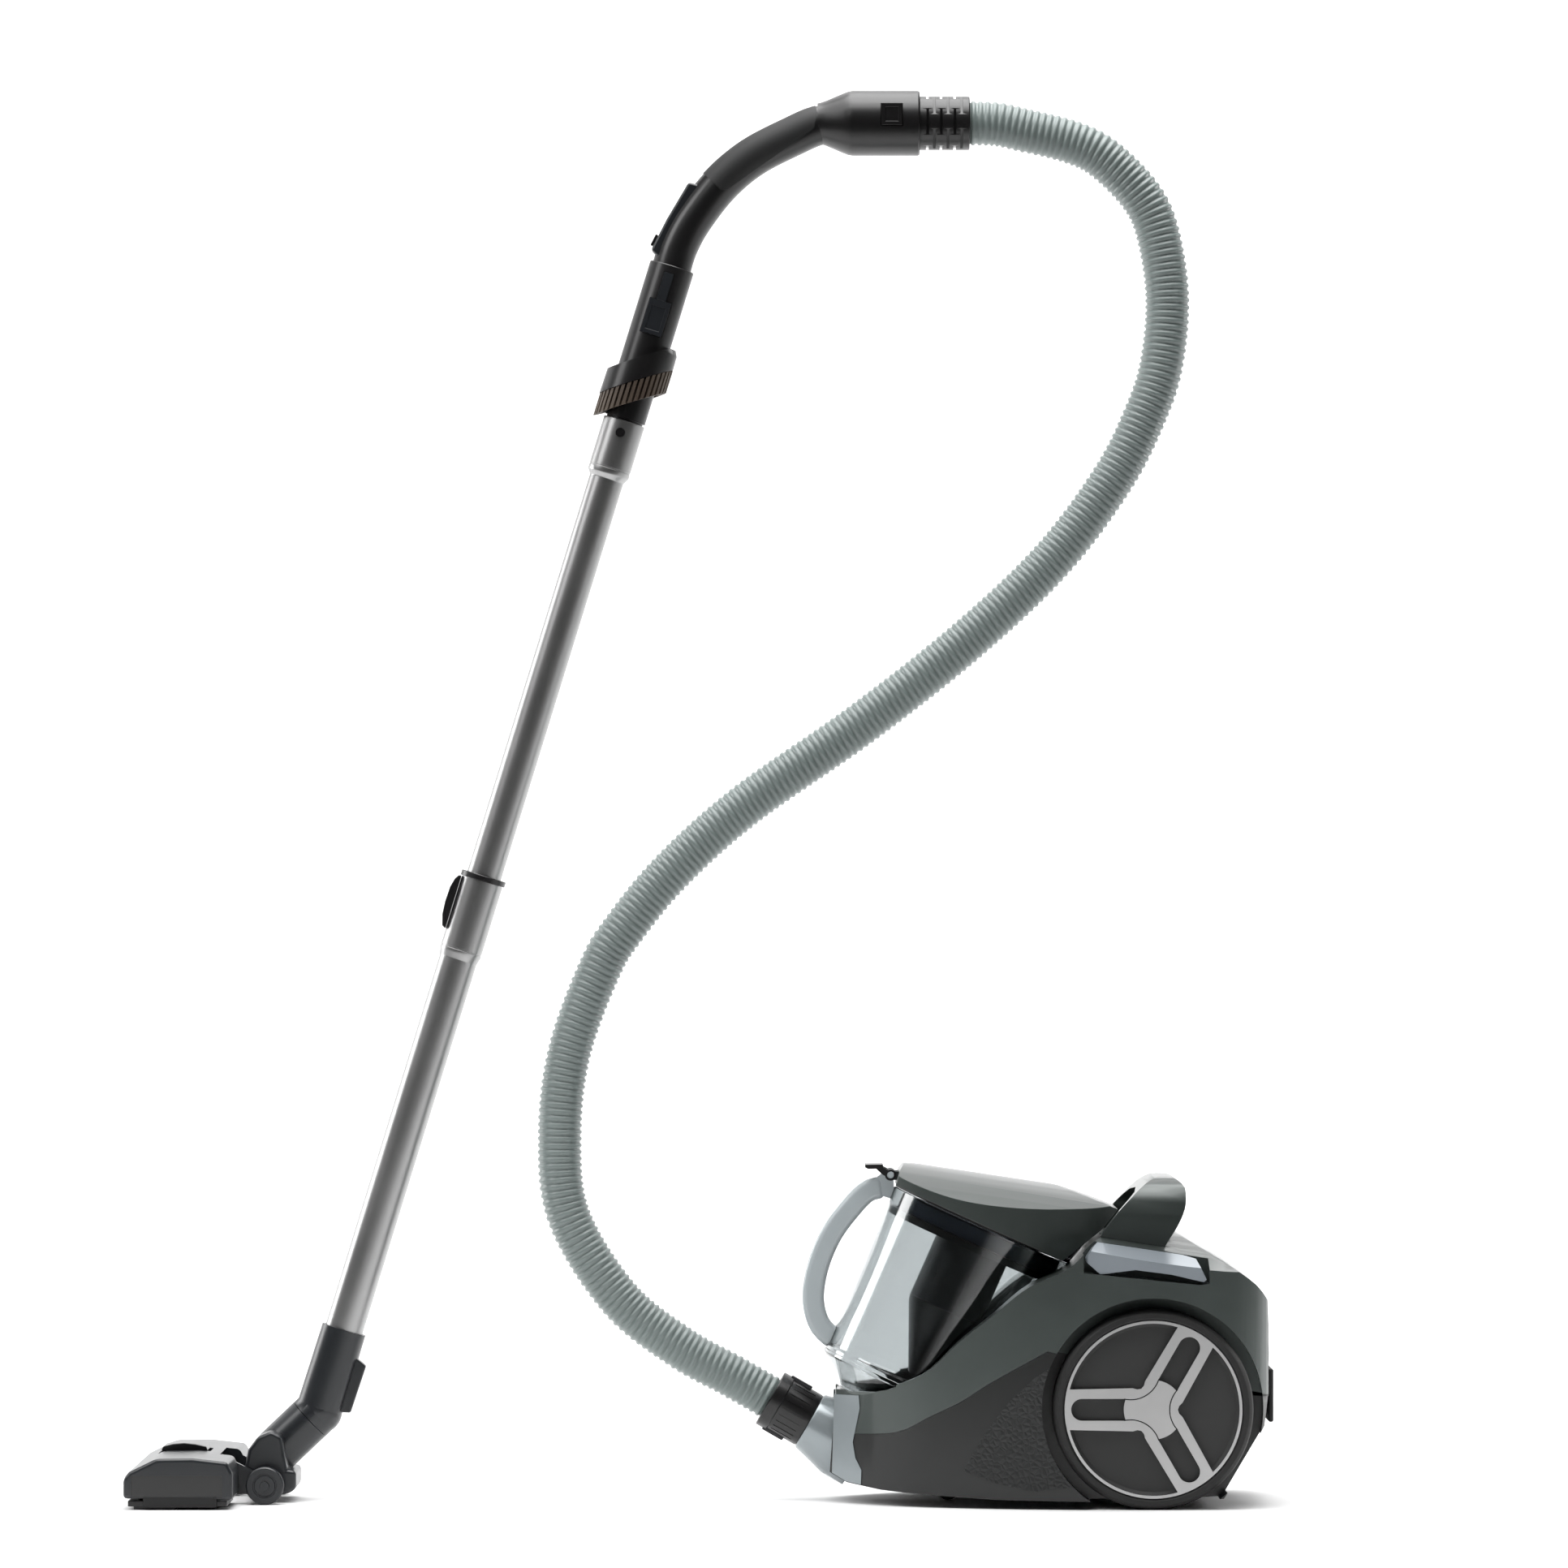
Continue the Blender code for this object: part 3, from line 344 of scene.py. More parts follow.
def surface(
    name, colour, other, roughness, metallic=0.0, grain=0.4, bump=0.02, depth=0.0002, coat=0.0, cells=0.0
):
    """A material whose colour and gloss drift a little, with a fine moulded or drawn grain.

    grain is the grain's size in millimetres, bump its strength, depth its depth in metres. cells is the
    size in millimetres of a honeycomb texture, or nothing.
    """
    if name in bpy.data.materials:
        return bpy.data.materials[name]
    made = bpy.data.materials.new(name)
    made.use_nodes = True
    tree = made.node_tree
    shader = tree.nodes["Principled BSDF"]
    shader.inputs["Metallic"].default_value = metallic
    shader.inputs["Coat Weight"].default_value = coat
    shader.inputs["Coat Roughness"].default_value = 0.12
    place = node(tree, "ShaderNodeTexCoord")
    drift = node(tree, "ShaderNodeTexNoise")
    drift.inputs["Scale"].default_value = 14
    drift.inputs["Detail"].default_value = 3
    blend = node(tree, "ShaderNodeMix", data_type="RGBA")
    blend.inputs["A"].default_value = linear(colour)
    blend.inputs["B"].default_value = linear(other)
    gloss = node(tree, "ShaderNodeMapRange")
    gloss.inputs["To Min"].default_value = roughness * 0.88
    gloss.inputs["To Max"].default_value = min(1.0, roughness * 1.12)
    if cells:
        fine = node(tree, "ShaderNodeTexVoronoi", feature="DISTANCE_TO_EDGE")
        fine.inputs["Scale"].default_value = 1000 / cells
        out = fine.outputs["Distance"]
    else:
        fine = node(tree, "ShaderNodeTexNoise")
        fine.inputs["Scale"].default_value = 1000 / grain
        fine.inputs["Detail"].default_value = 2
        out = fine.outputs["Fac"]
    relief = node(tree, "ShaderNodeBump")
    relief.inputs["Strength"].default_value = bump
    relief.inputs["Distance"].default_value = depth
    tree.links.new(place.outputs["Object"], drift.inputs["Vector"])
    tree.links.new(place.outputs["Object"], fine.inputs["Vector"])
    tree.links.new(drift.outputs["Fac"], blend.inputs["Factor"])
    tree.links.new(drift.outputs["Fac"], gloss.inputs["Value"])
    tree.links.new(blend.outputs["Result"], shader.inputs["Base Color"])
    tree.links.new(gloss.outputs["Result"], shader.inputs["Roughness"])
    tree.links.new(out, relief.inputs["Height"])
    tree.links.new(relief.outputs["Normal"], shader.inputs["Normal"])
    return made


def clear(name, colour, roughness, through=1.0):
    """Clear moulded plastic with polycarbonate's refractive index; through is how much light it lets by."""
    made = surface(name, colour, colour, roughness, grain=6, bump=0.01)
    shader = made.node_tree.nodes["Principled BSDF"]
    shader.inputs["Transmission Weight"].default_value = through
    shader.inputs["IOR"].default_value = 1.58
    return made


FINISHES = {
    # metallic grey-green painted ABS, satin, of the canister's upper shell
    "shell": lambda: surface("satin metallic grey ABS", "#484e4c", "#525957", 0.32, 0.6, 0.3, 0.03, coat=0.4),
    # black moulded ABS of the canister's lower housing, with a soft sheen
    "tub": lambda: surface("satin black ABS housing", "#0f1010", "#161717", 0.32, grain=0.4, bump=0.03, coat=0.2),
    # the same ABS with a moulded grain of shallow cells, which breaks up its sheen
    "panel": lambda: surface(
        "black ABS honeycomb grain", "#1a1b1b", "#222323", 0.5, cells=5.5, bump=1.0, depth=0.0014
    ),
    # satin black ABS of the handle, cuff and small fittings
    "black": lambda: surface("satin black ABS", "#0e0d0e", "#141314", 0.34, grain=0.5, bump=0.03, coat=0.1),
    # dark blue-grey ABS of the elbow, neck and floor head, a little lighter than the handle
    "graphite": lambda: surface("satin graphite ABS", "#191b1e", "#202327", 0.34, grain=0.5, bump=0.03, coat=0.1),
    # dark green-grey painted ABS of the lid and carry handle
    "lid": lambda: surface("satin dark grey painted ABS", "#363c3a", "#414745", 0.36, 0.4, 0.4, 0.03, coat=0.35),
    # pale silver-blue painted ABS of the pedals
    "silver": lambda: surface("pale silver painted ABS", "#98a0a8", "#a5adb4", 0.3, 0.5, 0.3, 0.02, coat=0.3),
    # glossy black ABS behind the floor head's end openings
    "window": lambda: surface("glossy black ABS", "#060606", "#0a0a0a", 0.12, grain=2.0, bump=0.01),
    # matt aluminium-coloured paint of the wheel trims
    "trim": lambda: surface("matt aluminium paint on ABS", "#b9b9b9", "#c9c9c9", 0.36, 0.75, 0.25, 0.03),
    # satin anodised aluminium of the telescopic tubes
    "tube": lambda: surface("satin anodised aluminium tube", "#9c9c9c", "#a8a8a8", 0.34, 0.95, 0.2, 0.03),
    # black rubber of the tyres
    "tyre": lambda: surface("matt black tyre rubber", "#161616", "#1e1e1e", 0.62, grain=0.8, bump=0.12),
    # soft-touch grip and bumper rubber
    "rubber": lambda: surface("soft-touch black rubber", "#101011", "#161617", 0.6, grain=0.4, bump=0.15),
    # grained dark inlay of the wheels
    "inlay": lambda: surface("grained dark grey ABS", "#262626", "#2e2e2e", 0.6, grain=0.7, bump=0.2),
    # grey-green flexible PVC of the hose
    "hose": lambda: surface("satin grey-green hose PVC", "#6f7977", "#7a8583", 0.36, grain=0.6, bump=0.03, coat=0.1),
    # nylon bristles, dark brown
    "bristle": lambda: surface("dark brown nylon bristle", "#3a2f26", "#54473a", 0.6, grain=0.5, bump=0.4),
    # white pleated filter fleece
    "filter": lambda: surface("white filter fleece", "#d8d8d0", "#e6e6de", 0.9, grain=1.2, bump=0.4),
    # blue-grey open cell foam
    "foam": lambda: surface("grey filter foam", "#3b4350", "#4c5563", 0.95, grain=1.5, bump=0.6),
    # green solder-masked circuit board
    "board": lambda: surface("green solder mask", "#1e5a32", "#246a3c", 0.4, grain=2.0, bump=0.05),
    # brushed stainless steel of the reel's spindle and the fan
    "steel": lambda: surface("brushed stainless steel", "#8f9193", "#a2a4a6", 0.3, 1.0, 0.2, 0.05),
    # dark stainless sheet of the cyclone's screen, pierced every 2.4 mm
    "perforated": lambda: surface(
        "perforated steel sheet", "#3a3b3c", "#4a4b4c", 0.35, 0.8, cells=2.4, bump=0.6, depth=0.0006
    ),
    # clear polycarbonate of the dust bin
    "clear": lambda: clear("clear polycarbonate", "#c9cdce", 0.04),
    # polycarbonate of the bin handle, frosted so that it glows rather than shows what is behind
    "frost": lambda: clear("pale frosted polycarbonate", "#b4bcbf", 0.22, 0.35),
    # pearl-painted ABS of the inlet, with a silvery sheen
    "pearl": lambda: surface("pearl white ABS", "#8d9598", "#9aa2a5", 0.26, 0.35, 0.4, 0.02, coat=0.4),
}

# ---------------------------------------------------------------- canister
RAIL = [
    (122.6, 103.1), (161.3, 103.8), (174.9, 109.1), (204.5, 122.5), (234.4, 150.7), (264.3, 174.5),
    (294, 198.6), (330.6, 216.1), (357.5, 241.3),
]
DECK = [
    (385, 245.5), (421.1, 248.6), (434, 243), (455, 231), (475.7, 218.8), (499.8, 201.3), (511, 187),
    (512, 164), (512, 100.3),
]
SEAM = [(500, 100.3), (311.7, 142), (260.6, 113), (235.6, 96.6), (206, 81.7), (176.1, 67), (122.6, 63.1)]
FLOOR = [
    (511.5, 100), (508, 74), (470, 10), (430, 7.6), (330, 7.6), (263.4, 8.5), (192.8, 12.3),
    (162.6, 14.5), (132.4, 19.2), (117, 27.4),
]
WIDTHS = [
    (112, 30), (120, 38), (135, 54), (160, 79), (190, 100), (220, 113), (260, 125), (300, 133),
    (350, 139), (400, 142), (450, 139), (480, 132), (500, 118), (512, 98),
]
INSIDE = [
    (120, 35), (135, 51), (160, 76), (190, 97), (220, 110), (258, 110), (296, 94), (400, 94), (480, 94),
    (515, 86),
]
SHELL_IN = [
    (124, 40), (127, 99.5), (158, 100.3), (174, 105.7), (203, 119), (233, 147), (263, 171), (293, 195),
    (330, 212.5), (356, 237), (385, 242), (420, 245), (432, 239), (453, 227.5), (474, 215), (496, 199),
    (508, 185), (508.7, 164), (508.7, 40),
]
TUB_IN = [
    (124, 180), (124, 30.5), (134, 22.5), (163, 17.6), (193, 15.4), (263.4, 11.6), (330, 10.7),
    (430, 10.7), (468, 13), (504.5, 75), (508.4, 100), (508.4, 180),
]
DUCT_ROOM = [(0, 8), (27.5, 8), (27.5, 0), (37, -34), (37, -56), (0, -56)]


DOME = [(0, 0), (40, -1.2), (60, -5), (80, -11), (92, -15), (106, -19.5), (122, -24), (142, -29), (160, -34)]


def crown_at(x, z):
    """A place on a crown that slopes down to the rear: its Y runs along the crown and its Z stands off it."""
    up = Vector((CROWN_SLOPE, 0, 1)).normalized()
    turn = Matrix(((0, 1, 0), (-up.z, 0, up.x), up)).transposed().to_4x4()
    return Matrix.Translation((x * MM, 0, z * MM)) @ turn


def both_sides(half):
    """A half outline of (side, height) points from the middle out, doubled about the centre plane."""
    return [(-y, z) for y, z in reversed(half)] + half[1:]


def dome(extra):
    """The room under the deck's crown, which falls away to both sides and to the rear."""
    outline = both_sides([(y, z + extra) for y, z in DOME]) + [(160, -300), (-160, -300)]
    return slab(outline, -250, 350, place=crown_at(421, 248.9))


def bin_pocket(extra, slide):
    """The bin's shape enlarged, and stretched the way it lifts out."""
    r = BIN_R + extra
    shape = [(0, 30), (r, 30), (r, 0), (r, -164), (65 + extra, -187 - extra), (0, -187 - extra)]
    obj = turned(shape, BIN, 48)
    if slide:
        away = Vector((-0.45, 0, 0.893)).normalized() * slide * MM
        only(obj)
        bpy.ops.object.mode_set(mode="EDIT")
        bpy.ops.mesh.select_all(action="SELECT")
        bpy.ops.mesh.duplicate_move(TRANSFORM_OT_translate={"value": away})
        bpy.ops.mesh.select_all(action="SELECT")
        bpy.ops.mesh.delete(type="EDGE_FACE")
        bpy.ops.mesh.select_all(action="SELECT")
        bpy.ops.mesh.convex_hull(use_existing_faces=False)
        bpy.ops.object.mode_set(mode="OBJECT")
    return settle(obj)


def wells():
    """The room of the two rear wheels."""
    return [rod(WELL_R, low, high, WHEEL, sides=96) for low, high in ((-170, -WELL_IN), (WELL_IN, 170))]


def top_line():
    """The rail and deck as one smooth line, down to the rear wall."""
    return spaced(RAIL + DECK[:7], 9) + DECK[7:]


def seam_line():
    """The joint between the upper shell and the housing, from the rear to the front."""
    return SEAM[:1] + spaced(SEAM[1:], 9)


def body_block():
    """The canister's whole outer form, its long edges rounded."""
    outline = top_line() + FLOOR
    obj = slab(outline, -150, 150)
    meet(obj, plan(WIDTHS))
    return soften(obj, 9, 5, 50)


def make_shell():
    shell = slab(top_line() + seam_line(), -150, 150)
    meet(shell, plan(WIDTHS))
    meet(shell, dome(0))
    soften(shell, 4, 4, 40)
    cut(shell, bin_pocket(4.6, 90), *wells(), turned(DUCT_ROOM, INLET, 64))
    pocket = [(344.2, 262), (344.2, 212.5), (449, 201.8), (457.2, 203), (457.2, 262)]
    for low, high in ((-170, -104), (104, 170)):
        cut(shell, slab(pocket, low, high))
    room = slab(SHELL_IN, -150, 150)
    meet(room, plan(INSIDE))
    meet(room, dome(-3.2))
    cut(shell, room)
    under = [(124, 66)] + [(x + 1.2, z - 1.4) for x, z in RAIL]
    cradle = slab(under + [(355, 150), (300, 60), (240, 36), (205, 40), (178, 64)], -89, 89)
    meet(cradle, bin_pocket(4.9, 0))
    cut(cradle, bin_pocket(1.5, 90), turned(DUCT_ROOM, INLET, 48))
    join(shell, cradle)
    cut(shell, box(500, 530, -60, 60, 148, 182))
    cut(shell, rod(6.3, 480, 530, frame_at(0, 136, (1, 0)), at=(0, -50), sides=32))
    return done(shell, "Upper shell", "canister", "shell", "upper_shell")


def make_tub():
    tub = body_block()
    band = [(x, z - FIT) for x, z in reversed(seam_line())]
    band = [(105, band[0][1])] + band[1:-1] + [(520, 100)] + [(520, 0), (105, 0)]
    meet(tub, slab(band, -152, 152))
    room = slab(TUB_IN, -148, 148)
    meet(room, plan(INSIDE))
    cut(tub, room)
    spot = Matrix.Translation((CASTER_X * MM, 0, 0))
    join(tub, rod(37, 11, 34, spot), rod(8, 33, 48, spot))
    cut(tub, rod(34, 0, 31, spot), rod(4.3, 30, 60, spot, sides=32))
    cut(tub, *wells(), turned(DUCT_ROOM, INLET, 64))
    join(tub, rod(8, -134, -90, WHEEL, sides=48), rod(8, 90, 134, WHEEL, sides=48))
    return done(tub, "Lower housing", "canister", "tub", "base_tub")


PANEL = [(237, 34), (252, 62), (275, 94), (300, 118), (325, 134), (345, 140), (349, 22), (300, 16), (262, 24)]


def make_panels():
    """The honeycomb-grained panels ahead of the wheels, standing half a millimetre off the housing."""
    panel = slab(PANEL, -150, -60)
    meet(panel, plan([(x, w + 0.5) for x, w in WIDTHS]))
    cut(panel, plan([(x, w - 1.0) for x, w in WIDTHS]), *wells())
    done(mirrored(panel), "Side panel right", "canister", "panel")
    done(panel, "Side panel left", "canister", "panel")


def make_duct():
    """The hose inlet, and the pearl skin round its mouth."""
    shape = [
        (27, -0.3), (28, -2), (31, -14), (36, -33), (36, -55), (32.5, -55), (32.5, -34), (19, -24),
        (19, -0.3),
    ]
    done(turned(shape, INLET), "Inlet duct", "canister", "pearl", "inlet_duct")
    outline = [
        (119, 27), (121, 98.5), (143, 98.5), (144, 87), (141, 72), (137.7, 56), (140, 42), (145.5, 31),
        (145, 18),
    ]
    flange = slab(outline + [(132, 20)], -90, 90)
    meet(flange, plan([(x, w + 0.8) for x, w in WIDTHS]))
    cut(flange, plan([(x, w - 0.6) for x, w in WIDTHS]), turned(DUCT_ROOM, INLET, 64))
    done(flange, "Inlet flange", "canister", "pearl")


ARCH_SIDE = [
    (352, 215), (356, 236), (375, 263), (398, 287), (408, 294), (417, 296.5), (430, 294.5), (437, 288),
    (438.3, 282), (437, 268), (430, 252), (420, 236), (410, 215),
]
ARCH_FRONT = [
    (-93, 215), (-92, 262), (-88, 276), (-79, 288), (-64, 295), (-40, 297.2), (0, 297.5), (40, 297.2),
    (64, 295), (79, 288), (88, 276), (92, 262), (93, 215), (81, 215), (80, 262), (76, 270), (68, 277),
    (52, 282), (0, 285), (-52, 282), (-68, 277), (-76, 270), (-80, 262), (-81, 215),
]


def make_arch():
    """The carry handle: an arch over the deck that leans back and widens to its feet."""
    arch = slab(ARCH_FRONT, -450, -340, place=Matrix.Rotation(math.pi / 2, 4, "Z"))
    meet(arch, slab(spaced(ARCH_SIDE, 5), -120, 120))
    soften(arch, 2.5, 4, 40)
    deck = slab([(x, z + FIT) for x, z in top_line()] + [(515, 60), (122, 60)], -148, 148)
    cut(arch, meet(deck, dome(FIT)))
    done(arch, "Carry handle", "canister", "lid", "carry_handle", smooth=40)


def make_rear():
    done(soften(box(512.3, 517, -88, 88, 76, 124), 1.8, 4), "Rear bumper", "canister", "rubber", "rear_bumper")
    grille = box(505.3, 511.4, -59.7, 59.7, 148.3, 181.7)
    for k in range(11):
        y = -50 + 10 * k
        cut(grille, box(500, 520, y - 3, y + 3, 152, 178))
    done(soften(grille, 0.5, 2), "Exhaust grille", "canister", "black", "exhaust_grille")


def make_pedals():
    outline = [
        (346.4, 225.6), (352, 234), (359.1, 240.5), (387.5, 238), (422.3, 231), (446, 224.2),
        (454.5, 206.6), (452, 204.3), (422.3, 211.3), (390.4, 215.4), (359.1, 211.3), (346.4, 222.4),
    ]
    pedal = slab(outline, -141, -106)
    meet(pedal, plan([(340, 120), (346, 134), (360, 137.5), (400, 140.5), (440, 138.5), (460, 134)]))
    meet(pedal, dome(0.4))
    join(pedal, rod(2, -112, -99.5, across_at(450, 208), sides=24))
    soften(pedal, 0.8, 3, 30)
    done(mirrored(pedal), "Rewind pedal", "rewind_button", "silver", "rewind_pedal")
    done(pedal, "Power pedal", "power_button", "silver", "power_pedal")


def make_wheels():
    for side, name in ((-1, "left"), (1, "right")):
        body = f"{name}_wheel"
        tread = [
            (WHEEL_R, 131), (WHEEL_R, 108), (89.2, 104), (87, 100.6), (85, HUB_IN), (80.3, HUB_IN),
            (80.3, 136.8), (82, HUB_OUT), (86, 137.6), (88.6, 135),
        ]
        shape = [(r, side * y) for r, y in tread]
        done(turned(shape, WHEEL, 128), f"Tyre {name}", body, "tyre", f"tyre_{name}")
        face = [
            (80, 135.5), (80, 102), (74, 102), (72, 122), (16, 122), (14, 100), (8.2, 100), (8.2, 134.2),
            (24, 134.2), (30, 133), (74, 132.4), (77, 135.5),
        ]
        shape = [(r, side * y) for r, y in face]
        done(turned(shape, WHEEL, 96), f"Wheel inlay {name}", body, "inlay", f"wheel_hub_{name}")
        low, high = sorted((side * 135.9, side * HUB_OUT))
        trim = rod(79.7, low, high, WHEEL, sides=128)
        near, far = sorted((side * 130, side * 145))
        for k in range(3):
            sector = [(26, -6.4), (23, -3.4), (21.8, 0), (23, 3.4), (26, 6.4)]
            for j in range(33):
                a = math.radians(46.4 - 92.8 * j / 32)
                sector.append((77.2 * math.cos(a), 77.2 * math.sin(a)))
            turn = WHEEL @ Matrix.Rotation(math.radians(120 * k), 4, "Z")
            cut(trim, slab(sector, near, far, "XY", turn))
            groove = rod(27.1, near, far, turn, at=(41.1, 0), sides=96)
            cut(groove, rod(26.1, near - 2, far + 2, turn, at=(41.1, 0), sides=96))
            cut(trim, meet(groove, rod(28.2, near - 1, far + 1, turn, sides=96)))
            turn = WHEEL @ Matrix.Rotation(math.radians(60 + 120 * k), 4, "Z")
            slot = box(20, 64, -9.8, 9.8, near, far, turn)
            cut(slot, rod(26.6, near - 1, far + 1, turn, sides=96))
            join(slot, rod(9.8, near, far, turn, at=(64, 0), sides=48))
            cut(trim, slot)
        soften(trim, 0.5, 2, 50)
        done(trim, f"Wheel trim {name}", body, "trim", f"wheel_trim_{name}")


def make_caster():
    spot = Matrix.Translation((CASTER_X * MM, 0, 0))
    bowl = [
        (0, 30.4), (33, 30.4), (33, 27), (31.8, 22), (30, 17), (28, 13.5), (25, 10), (21, 7.8),
        (16, 6.6), (0, 5.9),
    ]
    fork = turned(bowl, spot, 72)
    cut(fork, box(213.5, 241, -6.6, 6.6, 0, 22))
    join(fork, rod(4, 29, 47, spot, sides=32), rod(2.5, -9, 9, across_at(225, 10), sides=24))
    done(fork, "Caster fork", "caster", "black", "caster_fork")
    shape = [(9, 5), (10, 4), (10, -4), (9, -5), (2.8, -6), (2.8, 6)]
    done(turned(shape, across_at(225, 10), 48), "Caster wheel", "caster_roller", "tyre", "caster_wheel")


# ---------------------------------------------------------------- dust bin
def make_cup():
    cup = [
        (87.4, -FIT), (BIN_R, -1), (84.9, -153), (86.3, -156), (86.5, -157), (86.5, FIT - CUP_DEPTH),
        (82, FIT - CUP_DEPTH), (82, -150), (85.5, -1), (85.9, -FIT),
    ]
    done(turned(cup, BIN, 128), "Bin cup", "dust_bin", "clear", "bin_cup")
    base = [
        (86.2, -CUP_DEPTH), (86.5, -160.5), (86.5, -163), (66, -184), (63, -186.4), (60, -187),
        (0, -187), (0, -184.4), (60, -184.4), (82, -163), (82, -CUP_DEPTH),
    ]
    done(turned(base, BIN, 128), "Bin base", "dust_bin", "clear", "bin_base")


def make_bin_handle():
    grip = [
        (166, 285), (152, 281.5), (138, 268), (119.1, 242.7), (106.6, 213.1), (102.1, 183.5), (108, 160),
        (122, 146),
    ]
    path = spaced(grip, 6)
    outline = []
    back = []
    for a, b, c in zip([path[0]] + path, path, path[1:] + [path[-1]]):
        n = Vector((c[1] - a[1], -(c[0] - a[0]))).normalized() * 10
        outline.append((b[0] + n.x, b[1] + n.y))
        back.append((b[0] - n.x, b[1] - n.y))
    handle = slab(outline + back[::-1], -13.5, 13.5)
    soften(handle, 5, 4, 60)
    ear = [(156, 280), (156, 291), (169, 301), (175, 299), (175.6, 284), (172, 275)]
    join(handle, slab(ear, -12.4, 12.4))
    room = [(0, 2), (88.3, 2), (88.3, 0), (85.1, -155), (86.8, -157), (86.8, -164), (0, -164)]
    cut(handle, turned(room, BIN, 96))
    join(handle, rod(3, -24, 24, PIN, sides=24))
    done(handle, "Bin handle", "dust_bin", "frost", "bin_handle")


def make_bin_inside():
    plate = [(84.2, -17.3), (84.2, -23.7), (31, -23.7), (31, -17.3)]
    done(turned(plate, BIN, 96), "Separator plate", "dust_bin", "black", "separator_plate")
    screen = turned([(35, -24), (35, -84), (33.6, -84), (33.6, -24)], BIN, 96)
    done(screen, "Mesh screen", "dust_bin", "perforated", "mesh_screen")
    cone = [(35, -84.3), (34, -90), (8, -150), (5.5, -150), (31, -90), (32, -84.3)]
    done(turned(cone, BIN, 72), "Cyclone cone", "dust_bin", "black", "cyclone_cone")
    shape = [(78, -3), (78, -17), (0, -17), (0, -3)]
    done(turned(shape, BIN, 72), "Pre-motor foam", "dust_bin", "foam", "foam_filter")


LID = [
    (176.8, 288.8), (180.6, 301.9), (184, 306.9), (215, 306), (252, 303.1), (290, 296), (322.6, 287.3),
    (352, 277), (377.8, 267), (361.8, 247.9), (327, 221.2),
]
LID_WIDTHS = [
    (170, 58), (176, 64), (185, 73), (200, 83), (225, 92.5), (250, 96), (280, 94.5), (310, 89),
    (340, 80), (360, 71), (380, 58),
]


ROOF = [(0, 0), (20, -0.9), (40, -3.8), (60, -9), (80, -17), (100, -27), (120, -40), (120, -120)]


def make_lid():
    lid = slab(LID[:2] + spaced(LID[2:9], 8) + LID[9:], -100, 100)
    meet(lid, plan(LID_WIDTHS))
    meet(lid, slab(both_sides(ROOF), -300, 100, place=crown_at(200, 306.2)))
    soften(lid, 1.6, 3, 35)
    inside = [(190, 250), (190, 288), (252, 281), (321, 264), (350, 252), (324, 227.5), (318, 200)]
    room = slab(inside, -100, 100)
    meet(room, plan([(x, w - 32) for x, w in LID_WIDTHS]))
    cut(lid, room)
    for low, high in ((-18, -13), (13, 18)):
        join(lid, rod(5.2, low, high, PIN, sides=32), box(174, 186, low, high, 292, 300))
    cut(lid, rod(3.3, -30, 30, PIN, sides=32))
    done(lid, "Bin lid", "lid", "lid", "bin_lid", smooth=35)
    seal = turned([(84, 0.2), (87.4, 0.2), (87.4, 3.4), (84, 3.4)], BIN, 96)
    done(seal, "Lid seal", "lid", "rubber")
    lever = slab([(149.3, 303.5), (149.3, 306.1), (165.5, 306.3), (165.5, 302.4), (152, 302.2)], -24, 24)
    for low, high in ((-23, -18.6), (18.6, 23)):
        join(lever, rod(5.2, low, high, PIN, sides=32))
        join(lever, slab([(158, 303.5), (165, 304), (173, 300), (171, 294), (165, 297)], low, high))
    cut(lever, rod(3.3, -30, 30, PIN, sides=32))
    done(lever, "Bin release lever", "release", "black", "bin_release_lever")


# ---------------------------------------------------------------- hose
HOSE = [
    (244.9, 1255), (249, 1255), (270, 1254), (293, 1249), (337, 1238), (367, 1223), (400, 1190),
    (416, 1156), (425, 1097), (420, 1037), (406, 992), (376, 932), (320, 857), (242, 783), (147, 708),
    (40, 633), (-27, 573), (-70, 521), (-92.5, 484), (-120, 409), (-129, 334), (-121, 259),
    (-75.5, 184.5), (-21, 140), (27, 113.4),
]
MOUTH = INLET @ Vector((0, 0, (CUFF_LENGTH + FIT) * MM)) / MM
HOSE[-1] = (MOUTH.x - 0.867 * 38, MOUTH.z + 0.498 * 38)
HOSE += [(MOUTH.x, MOUTH.z)]


